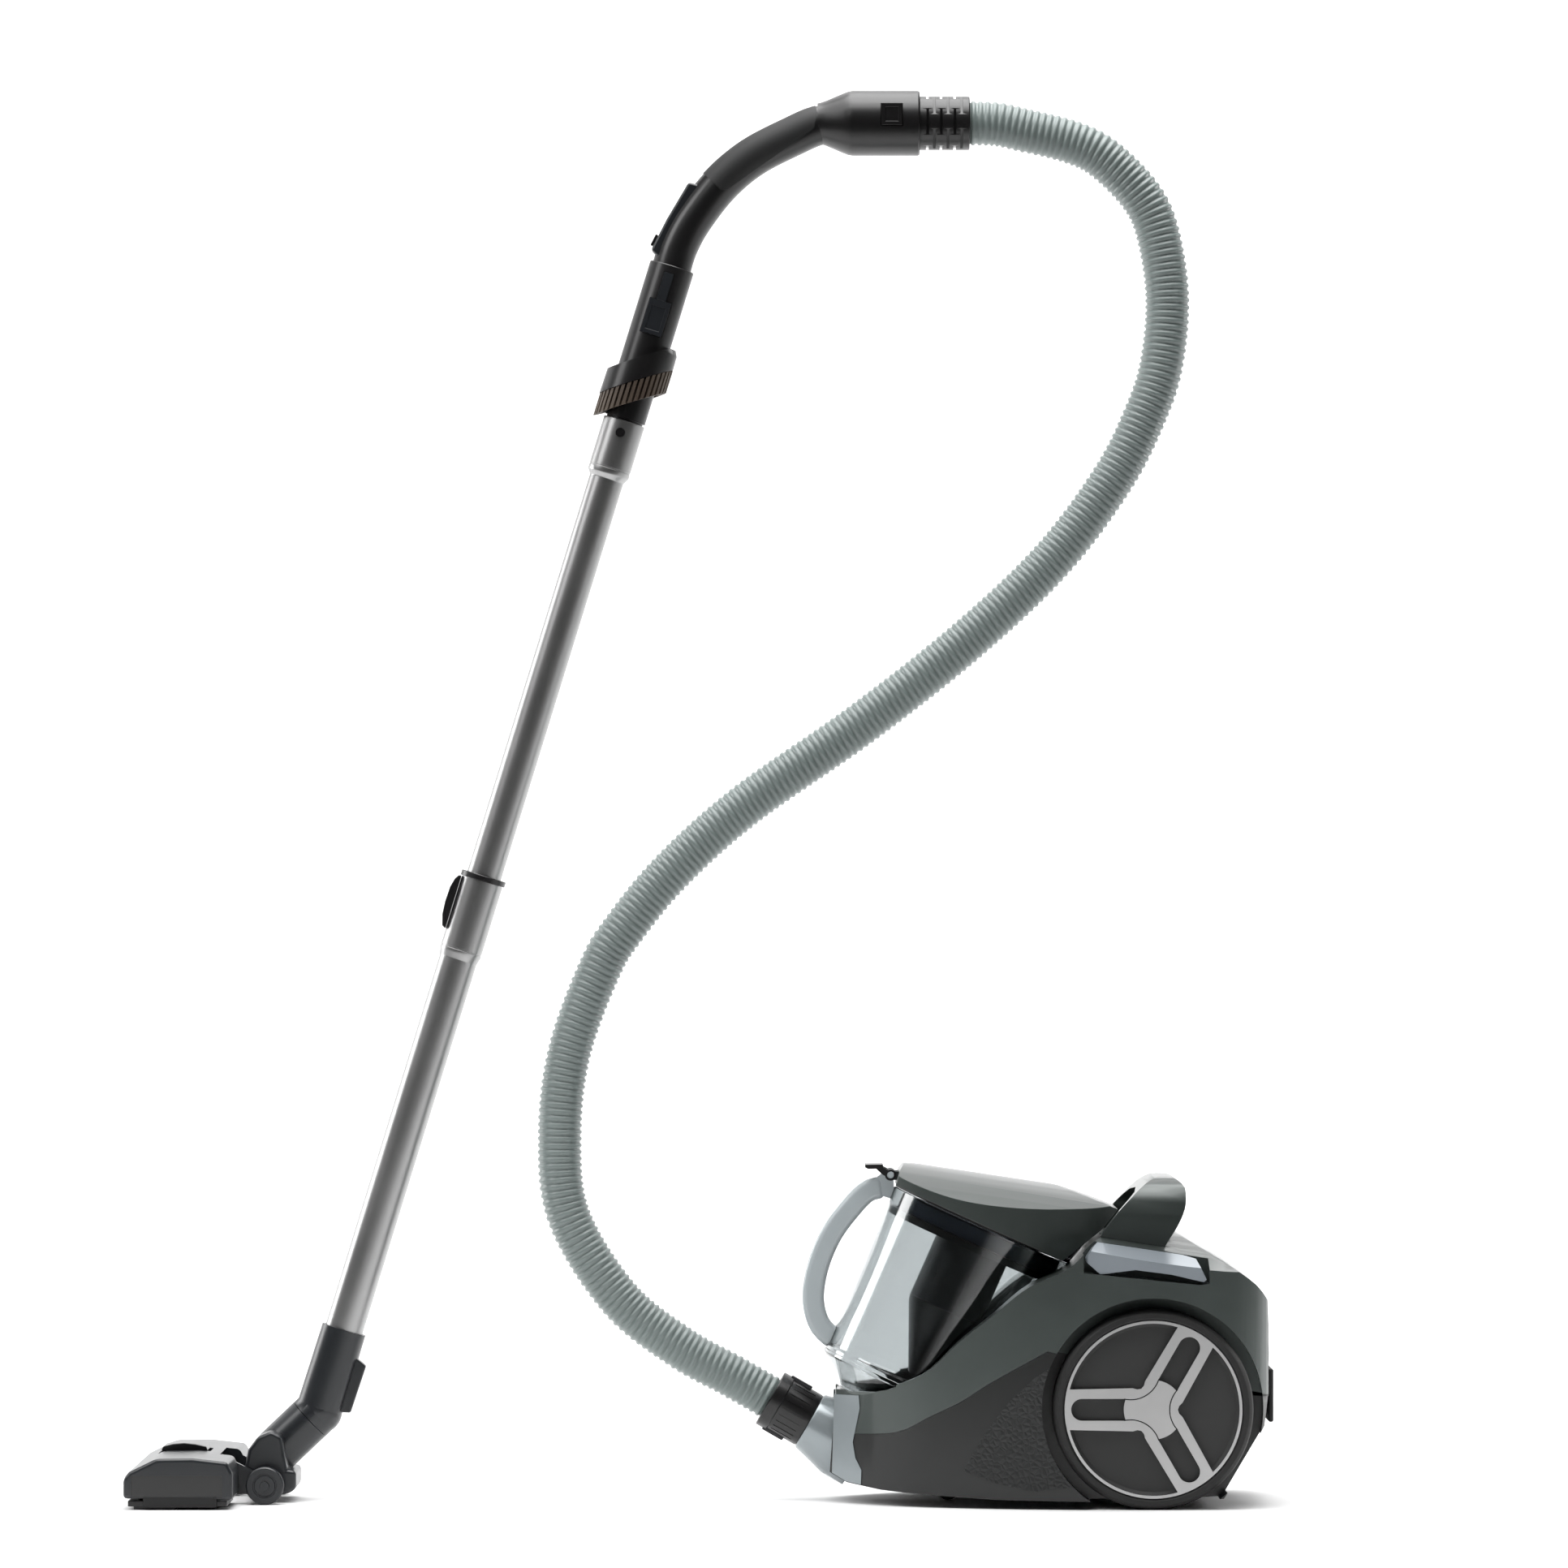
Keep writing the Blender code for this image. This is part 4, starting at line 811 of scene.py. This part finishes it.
def make_hose():
    """A ribbed tube: one rib spun, repeated along its length and bent to the route."""
    settings = bpy.context.scene.vacuum_settings
    route = spaced(HOSE, 5.0)
    length = sum(math.dist(a, b) for a, b in zip(route, route[1:]))
    ribs = round(length * MM / settings.rib_pitch)
    pitch = length / ribs
    wave = [(18.7, 0), (18.9, 0.16), (20.0, 0.3), (20.3, 0.5), (20.0, 0.7), (18.9, 0.84), (18.7, 1)]
    points = [(p * pitch * MM, 0, r * MM) for r, p in wave]
    rib = draw(points, closed=False)
    bpy.ops.mesh.spin(steps=28, angle=math.tau, center=(0, 0, 0), axis=(1, 0, 0))
    bpy.ops.object.mode_set(mode="OBJECT")
    settle(rib)
    repeat = rib.modifiers.new("Ribs", "ARRAY")
    repeat.count = ribs
    repeat.use_relative_offset = False
    repeat.use_constant_offset = True
    repeat.constant_offset_displace = (pitch * MM, 0, 0)
    repeat.use_merge_vertices = True
    repeat.merge_threshold = 0.00002
    bpy.ops.object.modifier_apply(modifier=repeat.name)
    guide = guide_along(route)
    only(rib)
    bend = rib.modifiers.new("Bend", "CURVE")
    bend.object = guide
    bend.deform_axis = "POS_X"
    bpy.ops.object.modifier_apply(modifier=bend.name)
    bpy.data.objects.remove(guide, do_unlink=True)
    bpy.ops.object.mode_set(mode="EDIT")
    bpy.ops.mesh.select_all(action="DESELECT")
    bpy.ops.mesh.select_mode(type="EDGE")
    bpy.ops.mesh.select_non_manifold()
    bpy.ops.mesh.edge_face_add()
    bpy.ops.mesh.select_mode(type="VERT")
    bpy.ops.object.mode_set(mode="OBJECT")
    settle(rib)
    rib.name = "Suction_hose"
    bpy.ops.object.shade_smooth_by_angle(angle=math.radians(60))
    rib.data.materials.clear()
    rib.data.materials.append(FINISHES["hose"]())
    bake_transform(rib)
    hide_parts("hose")


def make_hose_ends():
    settings = bpy.context.scene.vacuum_settings
    shape = [
        (26.6, 41), (27, 40), (27, 31), (26, 30), (26, 1), (25.4, 0), (18.6, 0), (18.6, -12), (17, -12),
        (17, 41),
    ]
    cuff = turned(shape, INLET, 96)
    for k in range(24):
        rib = INLET @ Matrix.Rotation(math.radians(15 * k), 4, "Z")
        if k % 12 not in (0, 1, 11):
            cut(cuff, box(25.5, 28, -0.9, 0.9, 6, 27, rib))
    for side in (-1, 1):
        near, far = sorted((side * 21.8, side * 30))
        cut(cuff, box(near, far, -6, 6, 12, 34, INLET))
    done(cuff, "Hose cuff", "cuff", "black", "hose_cuff")
    for side, name, body in ((-1, "cuff_clip_top", "clip_top"), (1, "cuff_clip_bottom", "clip_bottom")):
        near, far = sorted((side * 23.8, side * 28.2))
        clip = soften(box(near, far, -5.7, 5.7, 12.3, 33.7, INLET), 0.8, 3)
        done(clip, name.replace("_", " ").capitalize(), body, "graphite", name)
    sleeve = turned([(24.4, 243.8), (24.4, 199.4), (17, 199.4), (17, 244.6), (23.8, 244.6)], BARREL, 96)
    for k in range(4):
        for j in range(settings.sleeve_slots):
            x = 205 + 6.2 * j
            slot = BARREL @ Matrix.Rotation(math.radians(90 * k + 45 * (j % 2)), 4, "Z")
            cut(sleeve, box(21.2, 30, -13, 13, x, x + 2.4, slot))
    done(sleeve, "Hose sleeve", "hose_end", "black", "hose_sleeve")


# ---------------------------------------------------------------- handle
START = WAND @ Vector((0, 0, 1.088)) / MM
SECOND = WAND @ Vector((0, 0, 1.110)) / MM
BEND = [
    (START.x, START.z), (SECOND.x, SECOND.z), (-7.7, 1166.8), (17.5, 1199.3), (47.2, 1224.1),
    (85.5, 1243.9), (106, 1252.6), (125, BARREL_Z),
]


def make_handle():
    path = spaced(BEND, 5)
    shape = [
        (BARREL_R, 197.6), (BARREL_R, 138), (28.9, 134), (27, 129), (23.6, 121), (20.6, 114),
        (18.9, 109), (18.3, 106), (15, 106), (15.8, 122), (17, 150), (17, 199.1), (28.4, 199.1),
    ]
    barrel = turned(shape, BARREL, 96)
    cut(barrel, swept(path, GRIP_R + 0.05))
    cut(barrel, soften(box(163.4, 183.6, -40, -22, 1250.4, 1271.6), 0.7, 3, 60))
    done(barrel, "Handle barrel", "handle", "black", "handle_barrel")
    button = box(164, 183, -30.6, -24, 1251, 1271)
    cut(button, box(167.5, 179.5, -40, -30, 1254.5, 1267.5))
    done(soften(button, 1.2, 3, 50), "Hose release button", "hose_button", "black", "hose_release_button")
    bend = swept(path, GRIP_R)
    cut(bend, swept([(START.x - 3, START.z - 9)] + path + [(140, BARREL_Z)], 15.8))
    cut(bend, box(121.7, 150, -40, 40, 1200, 1300), box(-50, 50, -40, 40, 1050, 1091.8, WAND))
    done(bend, "Handle bend", "handle", "black", "handle_bend")
    pad = swept(path[2:-2], GRIP_R + 0.6)
    cut(pad, swept(path, GRIP_R + 0.05))
    edge = [(3.7, 1206.9), (-12, 1226), (84, 1288), (101, 1282), (105.8, 1263.9), (103, 1249.1), (24.4, 1193.6)]
    meet(pad, slab(edge + [(17.8, 1192.9)], -30, 30))
    done(pad, "Grip pad", "handle", "rubber", "grip_pad")
    outline = [(-11.4, 1200.7), (6, 1196), (-10, 1160), (-22, 1131), (-39, 1132.3), (-45.7, 1138.9)]
    pod = slab(outline + [(-31.4, 1167)], -11, 11)
    soften(pod, 2.5, 4, 30)
    cut(pod, swept(path, GRIP_R + 0.15))
    done(pod, "Control pod", "handle", "graphite", "control_pod")
    slider = box(-2.8, -0.3, -4, 4, -3, 8, frame_at(-42.5, 1145.4, (0.454, 0.892)))
    done(soften(slider, 0.6, 2), "Suction slider", "slider", "black", "suction_slider")
    shape = [
        (20.1, 1091.5), (SLEEVE_R, 1090.8), (SLEEVE_R, 991), (20.2, 990), (19, 990), (19, 946),
        (17, 946), (17, 905), (14.5, 905), (14.5, 1091.5),
    ]
    sleeve = turned(shape, WAND, 96)
    cut(sleeve, soften(box(-10.6, 10.6, -30, -17, 1025.4, 1058.6, WAND), 0.7, 3, 60))
    cut(sleeve, box(-4.9, 4.9, -30, -17, 1058, 1084.5, WAND))
    cut(sleeve, rod(4.7, -25, -12, BUTTON, sides=32))
    done(sleeve, "Handle sleeve", "handle", "black", "handle_sleeve")
    lock = box(-10, 10, -21.8, -19.2, 1026, 1058, WAND)
    cut(lock, box(-6.5, 6.5, -23, -21.2, 1030, 1052, WAND))
    join(lock, box(-4.5, 4.5, -21.6, -19.2, 1057, 1084, WAND))
    done(soften(lock, 0.4, 2), "Brush lock button", "brush_button", "graphite", "brush_lock_button")


def slant(t, above):
    lean = WAND @ Matrix.Translation((0, 0, t * MM)) @ Matrix.Rotation(-math.radians(34), 4, "Y")
    low, high = (0, 120) if above else (-120, 0)
    return box(-90, 90, -90, 90, low, high, lean)


def make_brush():
    collar = turned([(26, 1019), (28.5, 1014), (30, 940), (21.1, 940), (21.1, 1019)], WAND, 96)
    cut(collar, slant(982, False), slant(1005, True))
    done(soften(collar, 0.7, 2, 40), "Dusting brush collar", "dust_brush", "black", "brush_collar")
    # Tufts stand round the collar in one row of 36, on a sleeve of bristles.
    tufts = turned([(23.6, 1015), (24.6, 930), (22.6, 930), (22.6, 1015)], WAND, 72)
    for k in range(36):
        turn = WAND @ Matrix.Rotation(math.radians(10 * k), 4, "Z")
        join(tufts, box(23, 28.8, -1.5, 1.5, 925, 1012, turn))
    cut(tufts, slant(981.6, True), slant(960.5, False))
    done(tufts, "Dusting brush bristles", "dust_brush", "bristle", "brush_bristles")


# ---------------------------------------------------------------- wand
def make_wand():
    upper = [
        (COLLAR_R, 943.5), (COLLAR_R, 899.8), (18.9, 899.4), (18.9, 898.6), (COLLAR_R, 898.2),
        (COLLAR_R, 894.5), (18.6, 893), (16.3, 889.6), (INNER_R, 888.6), (INNER_R, 420), (14.8, 420),
        (14.8, 893), (17.3, 899), (17.3, 944), (18.8, 944),
    ]
    tube = turned(upper, WAND, 96)
    cut(tube, rod(4.3, -25, -12, BUTTON, sides=32))
    done(tube, "Upper tube", "wand_upper", "tube", "upper_tube")
    done(rod(4, -20.2, -17.6, BUTTON, sides=32), "Wand button", "tube_button", "black", "wand_button")
    lower = [
        (COLLAR_R, 505), (COLLAR_R, 440.6), (18.9, 440.2), (18.9, 439.4), (COLLAR_R, 439),
        (COLLAR_R, 437), (18.8, 435.6), (17.9, 431.2), (TUBE_R, 430), (TUBE_R, 30), (16.4, 30),
        (16.4, 436), (17.6, 440), (17.6, 505),
    ]
    done(turned(lower, WAND, 96), "Lower tube", "wand_lower", "tube", "lower_tube")
    ring = [(20.5, 510.3), (20.9, 509.9), (20.9, 505.7), (20.5, 505.3), (16.4, 505.3), (16.4, 510.3)]
    done(turned(ring, WAND, 96), "Telescope ring", "wand_lower", "black", "tube_collar_ring")
    catch = [
        (-19.6, 454), (-19.6, 504.5), (-22, 504.5), (-24.6, 500), (-26.5, 492), (-27, 478), (-26, 466),
        (-23, 456),
    ]
    piece = slab(catch, -9, 9, "XZ", WAND)
    done(soften(piece, 1.2, 3, 50), "Telescope catch", "catch", "black", "collar_catch")


def make_elbow():
    elbow = rod(SLEEVE_R + 0.5, 0, 77.7, WAND, r1=SLEEVE_R - 0.2, sides=72)
    join(elbow, ball(NECK_R + 0.25, *WAND_FOOT, 68), rod(NECK_R, FIT, 11.4, NECK, sides=72))
    hook = [(-315.5, 130.5), (-305.3, 122), (-319.5, 79.4), (-331, 80), (-327, 95)]
    join(elbow, soften(slab(hook, -8, 8), 1.5, 3, 60))
    cut(elbow, rod(17.8, 29.7, 90, WAND, sides=72), rod(14.5, 0.4, 40, WAND, sides=60))
    cut(elbow, rod(14.5, -10, 11.3, NECK, sides=56), ball(15.1, *WAND_FOOT, 52))
    cut(elbow, box(-40, 40, -40, 40, -40, FIT, NECK))
    done(elbow, "Elbow", "elbow", "graphite", "elbow")
    outline = [
        (-414, 30), (-411, 48), (-402, 60), (-390, 65), (-380, 60), (-375, 30), (-367, 29), (-367, 13),
        (-374, 8), (-395, 6), (-408, 14),
    ]
    yoke = slab(outline, -44, 44)
    soften(yoke, 3.5, 4, 30)
    join(yoke, rod(NECK_R, -42, -FIT, NECK, sides=72), rod(4, -74, 74, AXLE, sides=32))
    cut(yoke, rod(14.5, -36, 10, NECK, sides=56), box(-420, -385, -36, 36, 25, 45))
    done(yoke, "Neck", "neck", "graphite", "neck_yoke")
    for side, name in ((-1, "left"), (1, "right")):
        shape = [
            (16, 72), (17, 71), (17, 58), (16, 57), (4.2, 57), (4.2, 72), (9, 72), (9.6, 71.2),
            (10.6, 71.2), (11, 72),
        ]
        shape = [(r, side * y) for r, y in shape]
        piece = turned(shape, AXLE, 72)
        done(piece, f"Neck wheel {name}", f"neck_wheel_{name}", "graphite", f"head_wheel_{name}")


# ---------------------------------------------------------------- floor head
def make_head():
    outline = [
        (-517, 10.2), (-517, 28), (-512, 34), (-487.6, 46), (-455, 46.5), (-423.6, 43), (-418.5, 33),
        (-418.5, 8.7),
    ]
    head = slab(outline, -HEAD_HALF, HEAD_HALF)
    soften(head, 3.5, 4, 25)
    inside = [(-514, 0), (-514, 28), (-485, 36), (-427, 36), (-421.5, 32), (-421.5, 0)]
    cut(head, slab(inside, -135, 135))
    lug = [(-426, 40), (-400, 27), (-385, 22), (-385, 12), (-394, 8), (-426, 9)]
    for low, high in ((-54, -46.5), (46.5, 54)):
        join(head, slab(lug, low, high))
    cut(head, rod(50, -46, 46, AXLE, sides=96), rod(4.3, -60, 60, AXLE, sides=32))
    cut(head, box(-494, -446, -22.5, 22.5, 38, 60), rod(1.9, -26.3, 26.3, across_at(-470, 42), sides=16))
    # The ends carry a recessed dark window over the side brush.
    for low, high in ((-140, -136), (136, 140)):
        cut(head, box(-510, -428, low, high, 11, 31))
    done(head, "Floor head", "head", "graphite", "head_housing")
    for side, name in ((-1, "left"), (1, "right")):
        near, far = sorted((side * 135.2, side * 136.6))
        done(box(-510.4, -427.6, near, far, 10.6, 31.4), f"Head window {name}", "head", "window")
        near, far = sorted((side * 134.2, side * 137.4))
        strip = soften(box(-499, -433, near, far, 2.2, 12.4), 1.2, 3)
        done(strip, f"End brush {name}", "head", "rubber")
    sole = box(-513, -424, -133, 133, 3, 8)
    for low, high in ((-129, -122), (122, 129)):
        join(sole, box(-508, -470, low, high, 0, 4))
    cut(sole, box(-490, -470, -100, 100, 0, 12), box(-504.3, -497.7, -117, 117, 0, 12))
    cut(sole, box(-457.3, -450.7, -117, 117, 0, 12), rod(46, -47, 47, AXLE, sides=96))
    done(soften(sole, 0.5, 2, 50), "Head sole", "head", "black", "head_sole")
    rocker = [
        (-491, 46.4), (-489, 50), (-480, 52.2), (-470, 53), (-460, 52), (-450, 49.8), (-448.5, 46),
        (-462, 43.4), (-466, 39.6), (-474, 39.6), (-478, 43.4),
    ]
    piece = slab(rocker, -22, 22)
    soften(piece, 1, 3, 40)
    join(piece, rod(1.6, -26, 26, across_at(-470, 42), sides=16))
    done(piece, "Head pedal", "rocker", "black", "head_pedal")


CARRIED = {
    "exhaust_filter": "filter",
    "motor_casing": "black",
    "reel_spindle": "steel",
    "cord_outlet": "black",
    "circuit_board": "board",
    "impeller": "steel",
    "cord_reel": "black",
    "brush_frame": "bristle",
}


def dress_frame():
    """Gives the CAD nodes that are still shown their materials."""
    for name, finish in CARRIED.items():
        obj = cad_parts[name]
        for slot in obj.material_slots:
            slot.material = FINISHES[finish]()


# ---------------------------------------------------------------- stage
def area(name, place, aim, size, power):
    """A square lamp at a place, turned to the point it lights."""
    light = bpy.data.lights.new(name, "AREA")
    light.energy = power
    light.size = size
    obj = bpy.data.objects.new(name, light)
    obj.location = place
    obj.rotation_euler = (Vector(aim) - Vector(place)).to_track_quat("-Z", "Y").to_euler()
    bpy.context.scene.collection.objects.link(obj)


SWEEP_R = 2.4
SWEEP = [(-2.6, 0), (1.2, 0)]
for angle in range(6, 91, 6):
    a = math.radians(angle)
    SWEEP.append((1.2 + SWEEP_R * math.sin(a), SWEEP_R - SWEEP_R * math.cos(a)))
SWEEP.append((3.6, 9))


def make_stage():
    """A paper sweep, floor and wall in one sheet with a wide curve between them, then the lights and camera."""
    floor = draw([(-15, y, z) for y, z in SWEEP], closed=False)
    bpy.ops.mesh.extrude_region_move(TRANSFORM_OT_translate={"value": (30, 0, 0)})
    bpy.ops.mesh.select_all(action="SELECT")
    bpy.ops.mesh.normals_make_consistent(inside=False)
    bpy.ops.object.mode_set(mode="OBJECT")
    if floor.data.polygons[0].normal.z < 0:
        bpy.ops.object.mode_set(mode="EDIT")
        bpy.ops.mesh.flip_normals()
        bpy.ops.object.mode_set(mode="OBJECT")
    only(floor)
    floor.name = "Studio_sweep"
    bpy.ops.object.shade_smooth_by_angle(angle=math.radians(30))
    paper = surface("white paper sweep", "#f0f0f0", "#f2f2f2", 0.8, grain=20, bump=0.01)
    # The paper fades out toward its front edge, and lets the view through from behind or below.
    tree = paper.node_tree
    place = node(tree, "ShaderNodeTexCoord")
    axes = node(tree, "ShaderNodeSeparateXYZ")
    fade = node(tree, "ShaderNodeMapRange")
    fade.inputs["From Min"].default_value = -0.7
    fade.inputs["From Max"].default_value = -2.2
    facing = node(tree, "ShaderNodeNewGeometry")
    most = node(tree, "ShaderNodeMath", operation="MAXIMUM")
    nothing = node(tree, "ShaderNodeBsdfTransparent")
    either = node(tree, "ShaderNodeMixShader")
    tree.links.new(place.outputs["Object"], axes.inputs["Vector"])
    tree.links.new(axes.outputs["Y"], fade.inputs["Value"])
    tree.links.new(fade.outputs["Result"], most.inputs[0])
    tree.links.new(facing.outputs["Backfacing"], most.inputs[1])
    tree.links.new(most.outputs["Value"], either.inputs["Fac"])
    tree.links.new(tree.nodes["Principled BSDF"].outputs["BSDF"], either.inputs[1])
    tree.links.new(nothing.outputs["BSDF"], either.inputs[2])
    tree.links.new(either.outputs["Shader"], tree.nodes["Material Output"].inputs["Surface"])
    floor.data.materials.append(paper)
    world = bpy.data.worlds.new("Studio")
    world.use_nodes = True
    # White where the camera sees it, and dim as a light.
    backdrop = world.node_tree.nodes["Background"]
    backdrop.inputs["Color"].default_value = (1, 1, 1, 1)
    rays = node(world.node_tree, "ShaderNodeLightPath")
    strength = node(world.node_tree, "ShaderNodeMapRange")
    strength.inputs["To Min"].default_value = 0.04
    world.node_tree.links.new(rays.outputs["Is Camera Ray"], strength.inputs["Value"])
    world.node_tree.links.new(strength.outputs["Result"], backdrop.inputs["Strength"])
    bpy.context.scene.world = world
    area("Key", (-2.6, -1.2, 2.6), (0, 0, 0.5), 1.3, 34)
    area("Rim left", (-3.0, 1.2, 1.2), (0, 0, 0.6), 1.4, 40)
    area("Rim right", (3.2, 1.4, 1.6), (0.2, 0, 0.5), 1.2, 26)
    area("Top", (0.3, 0.4, 3.4), (0.1, 0, 0.3), 2.0, 38)
    area("Front", (-2.0, -4.0, 4.2), (0, 0, 0.3), 1.6, 14)
    area("Wall", (0, 0.6, 5.5), (0, 4.2, 1.0), 6.0, 400)
    area("Floor", (0, -1.5, 5.0), (0, 0.4, 0), 3.0, 60)
    camera = bpy.data.objects.new("Camera", bpy.data.cameras.new("Camera"))
    camera.data.sensor_width = 36
    camera.data.lens = 201.4
    camera.data.shift_y = 0.0647
    camera.data.clip_end = 100
    camera.location = (0.0755, -8.0, 0.56)
    camera.rotation_euler = (math.pi / 2, 0, 0)
    bpy.context.scene.collection.objects.link(camera)
    bpy.context.scene.camera = camera
    bpy.context.scene.view_settings.view_transform = "Standard"


# ---------------------------------------------------------------- add-on
class VacuumSettings(bpy.types.PropertyGroup):
    """Sizes that the pieces are made to."""

    rib_pitch: FloatProperty(
        name="Rib pitch", description="Spacing of the hose's ribs", default=0.0062, min=0.004, unit="LENGTH"
    )
    sleeve_slots: IntProperty(
        name="Sleeve slots", description="Rows of slots in the hose sleeve", default=6, min=1
    )


STEPS = [
    ("shell", "Upper Shell", "Model the canister's upper shell", [make_shell]),
    ("tub", "Lower Housing", "Model the canister's lower housing", [make_tub]),
    ("panels", "Side Panels", "Model the two grained side panels", [make_panels]),
    ("inlet", "Inlet", "Model the hose inlet and its flange", [make_duct]),
    ("arch", "Carry Handle", "Model the carry handle over the deck", [make_arch]),
    ("rear", "Rear Fittings", "Model the rear bumper and the exhaust grille", [make_rear]),
    ("pedals", "Pedals", "Model the two foot pedals", [make_pedals]),
    ("wheels", "Wheels", "Model tyres, inlays and trims", [make_wheels]),
    ("caster", "Caster", "Model the front caster", [make_caster]),
    ("bin", "Dust Bin", "Model the clear cup, base and handle", [make_cup, make_bin_handle]),
    ("cyclone", "Cyclone", "Model the screen, cone, plate and foam", [make_bin_inside]),
    ("lid", "Bin Lid", "Model the lid and its release lever", [make_lid]),
    ("hose", "Hose", "Model the ribbed suction hose", [make_hose]),
    ("hose_ends", "Hose Ends", "Model the cuff, clips and sleeve", [make_hose_ends]),
    ("handle", "Handle", "Model the handle and its controls", [make_handle]),
    ("brush", "Dusting Brush", "Model the slide-on dusting brush", [make_brush]),
    ("wand", "Wand", "Model the telescopic tubes", [make_wand]),
    ("elbow", "Elbow and Neck", "Model the elbow, neck and neck wheels", [make_elbow]),
    ("head", "Floor Head", "Model the floor head and its pedal", [make_head]),
    ("dress", "Frame Materials", "Dress the CAD nodes that stay shown", [dress_frame]),
    ("stage", "Stage", "Set the floor, lights and camera", [make_stage]),
]


def operator_for(key, label, doc, work):
    """An operator that runs one step's modelling."""

    def execute(self, context):
        for task in work:
            task()
        return {"FINISHED"}

    members = {"__doc__": doc, "bl_idname": f"vacuum.{key}", "bl_label": label, "execute": execute}
    return type(f"VACUUM_OT_{key}", (bpy.types.Operator,), members)


OPERATORS = [operator_for(*step) for step in STEPS]


class VACUUM_PT_panel(bpy.types.Panel):
    """Lists the steps in the sidebar."""

    bl_label = "Canister Vacuum"
    bl_space_type = "VIEW_3D"
    bl_region_type = "UI"
    bl_category = "Vacuum"

    def draw(self, context):
        settings = context.scene.vacuum_settings
        self.layout.prop(settings, "rib_pitch")
        self.layout.prop(settings, "sleeve_slots")
        for operator in OPERATORS:
            self.layout.operator(operator.bl_idname)


CLASSES = [VacuumSettings, *OPERATORS, VACUUM_PT_panel]


def register():
    for item in CLASSES:
        bpy.utils.register_class(item)
    bpy.types.Scene.vacuum_settings = PointerProperty(type=VacuumSettings)


def unregister():
    del bpy.types.Scene.vacuum_settings
    for item in reversed(CLASSES):
        bpy.utils.unregister_class(item)


def main():
    register()
    for operator in OPERATORS:
        group, name = operator.bl_idname.split(".")
        getattr(getattr(bpy.ops, group), name)()


if __name__ == "__main__":
    main()
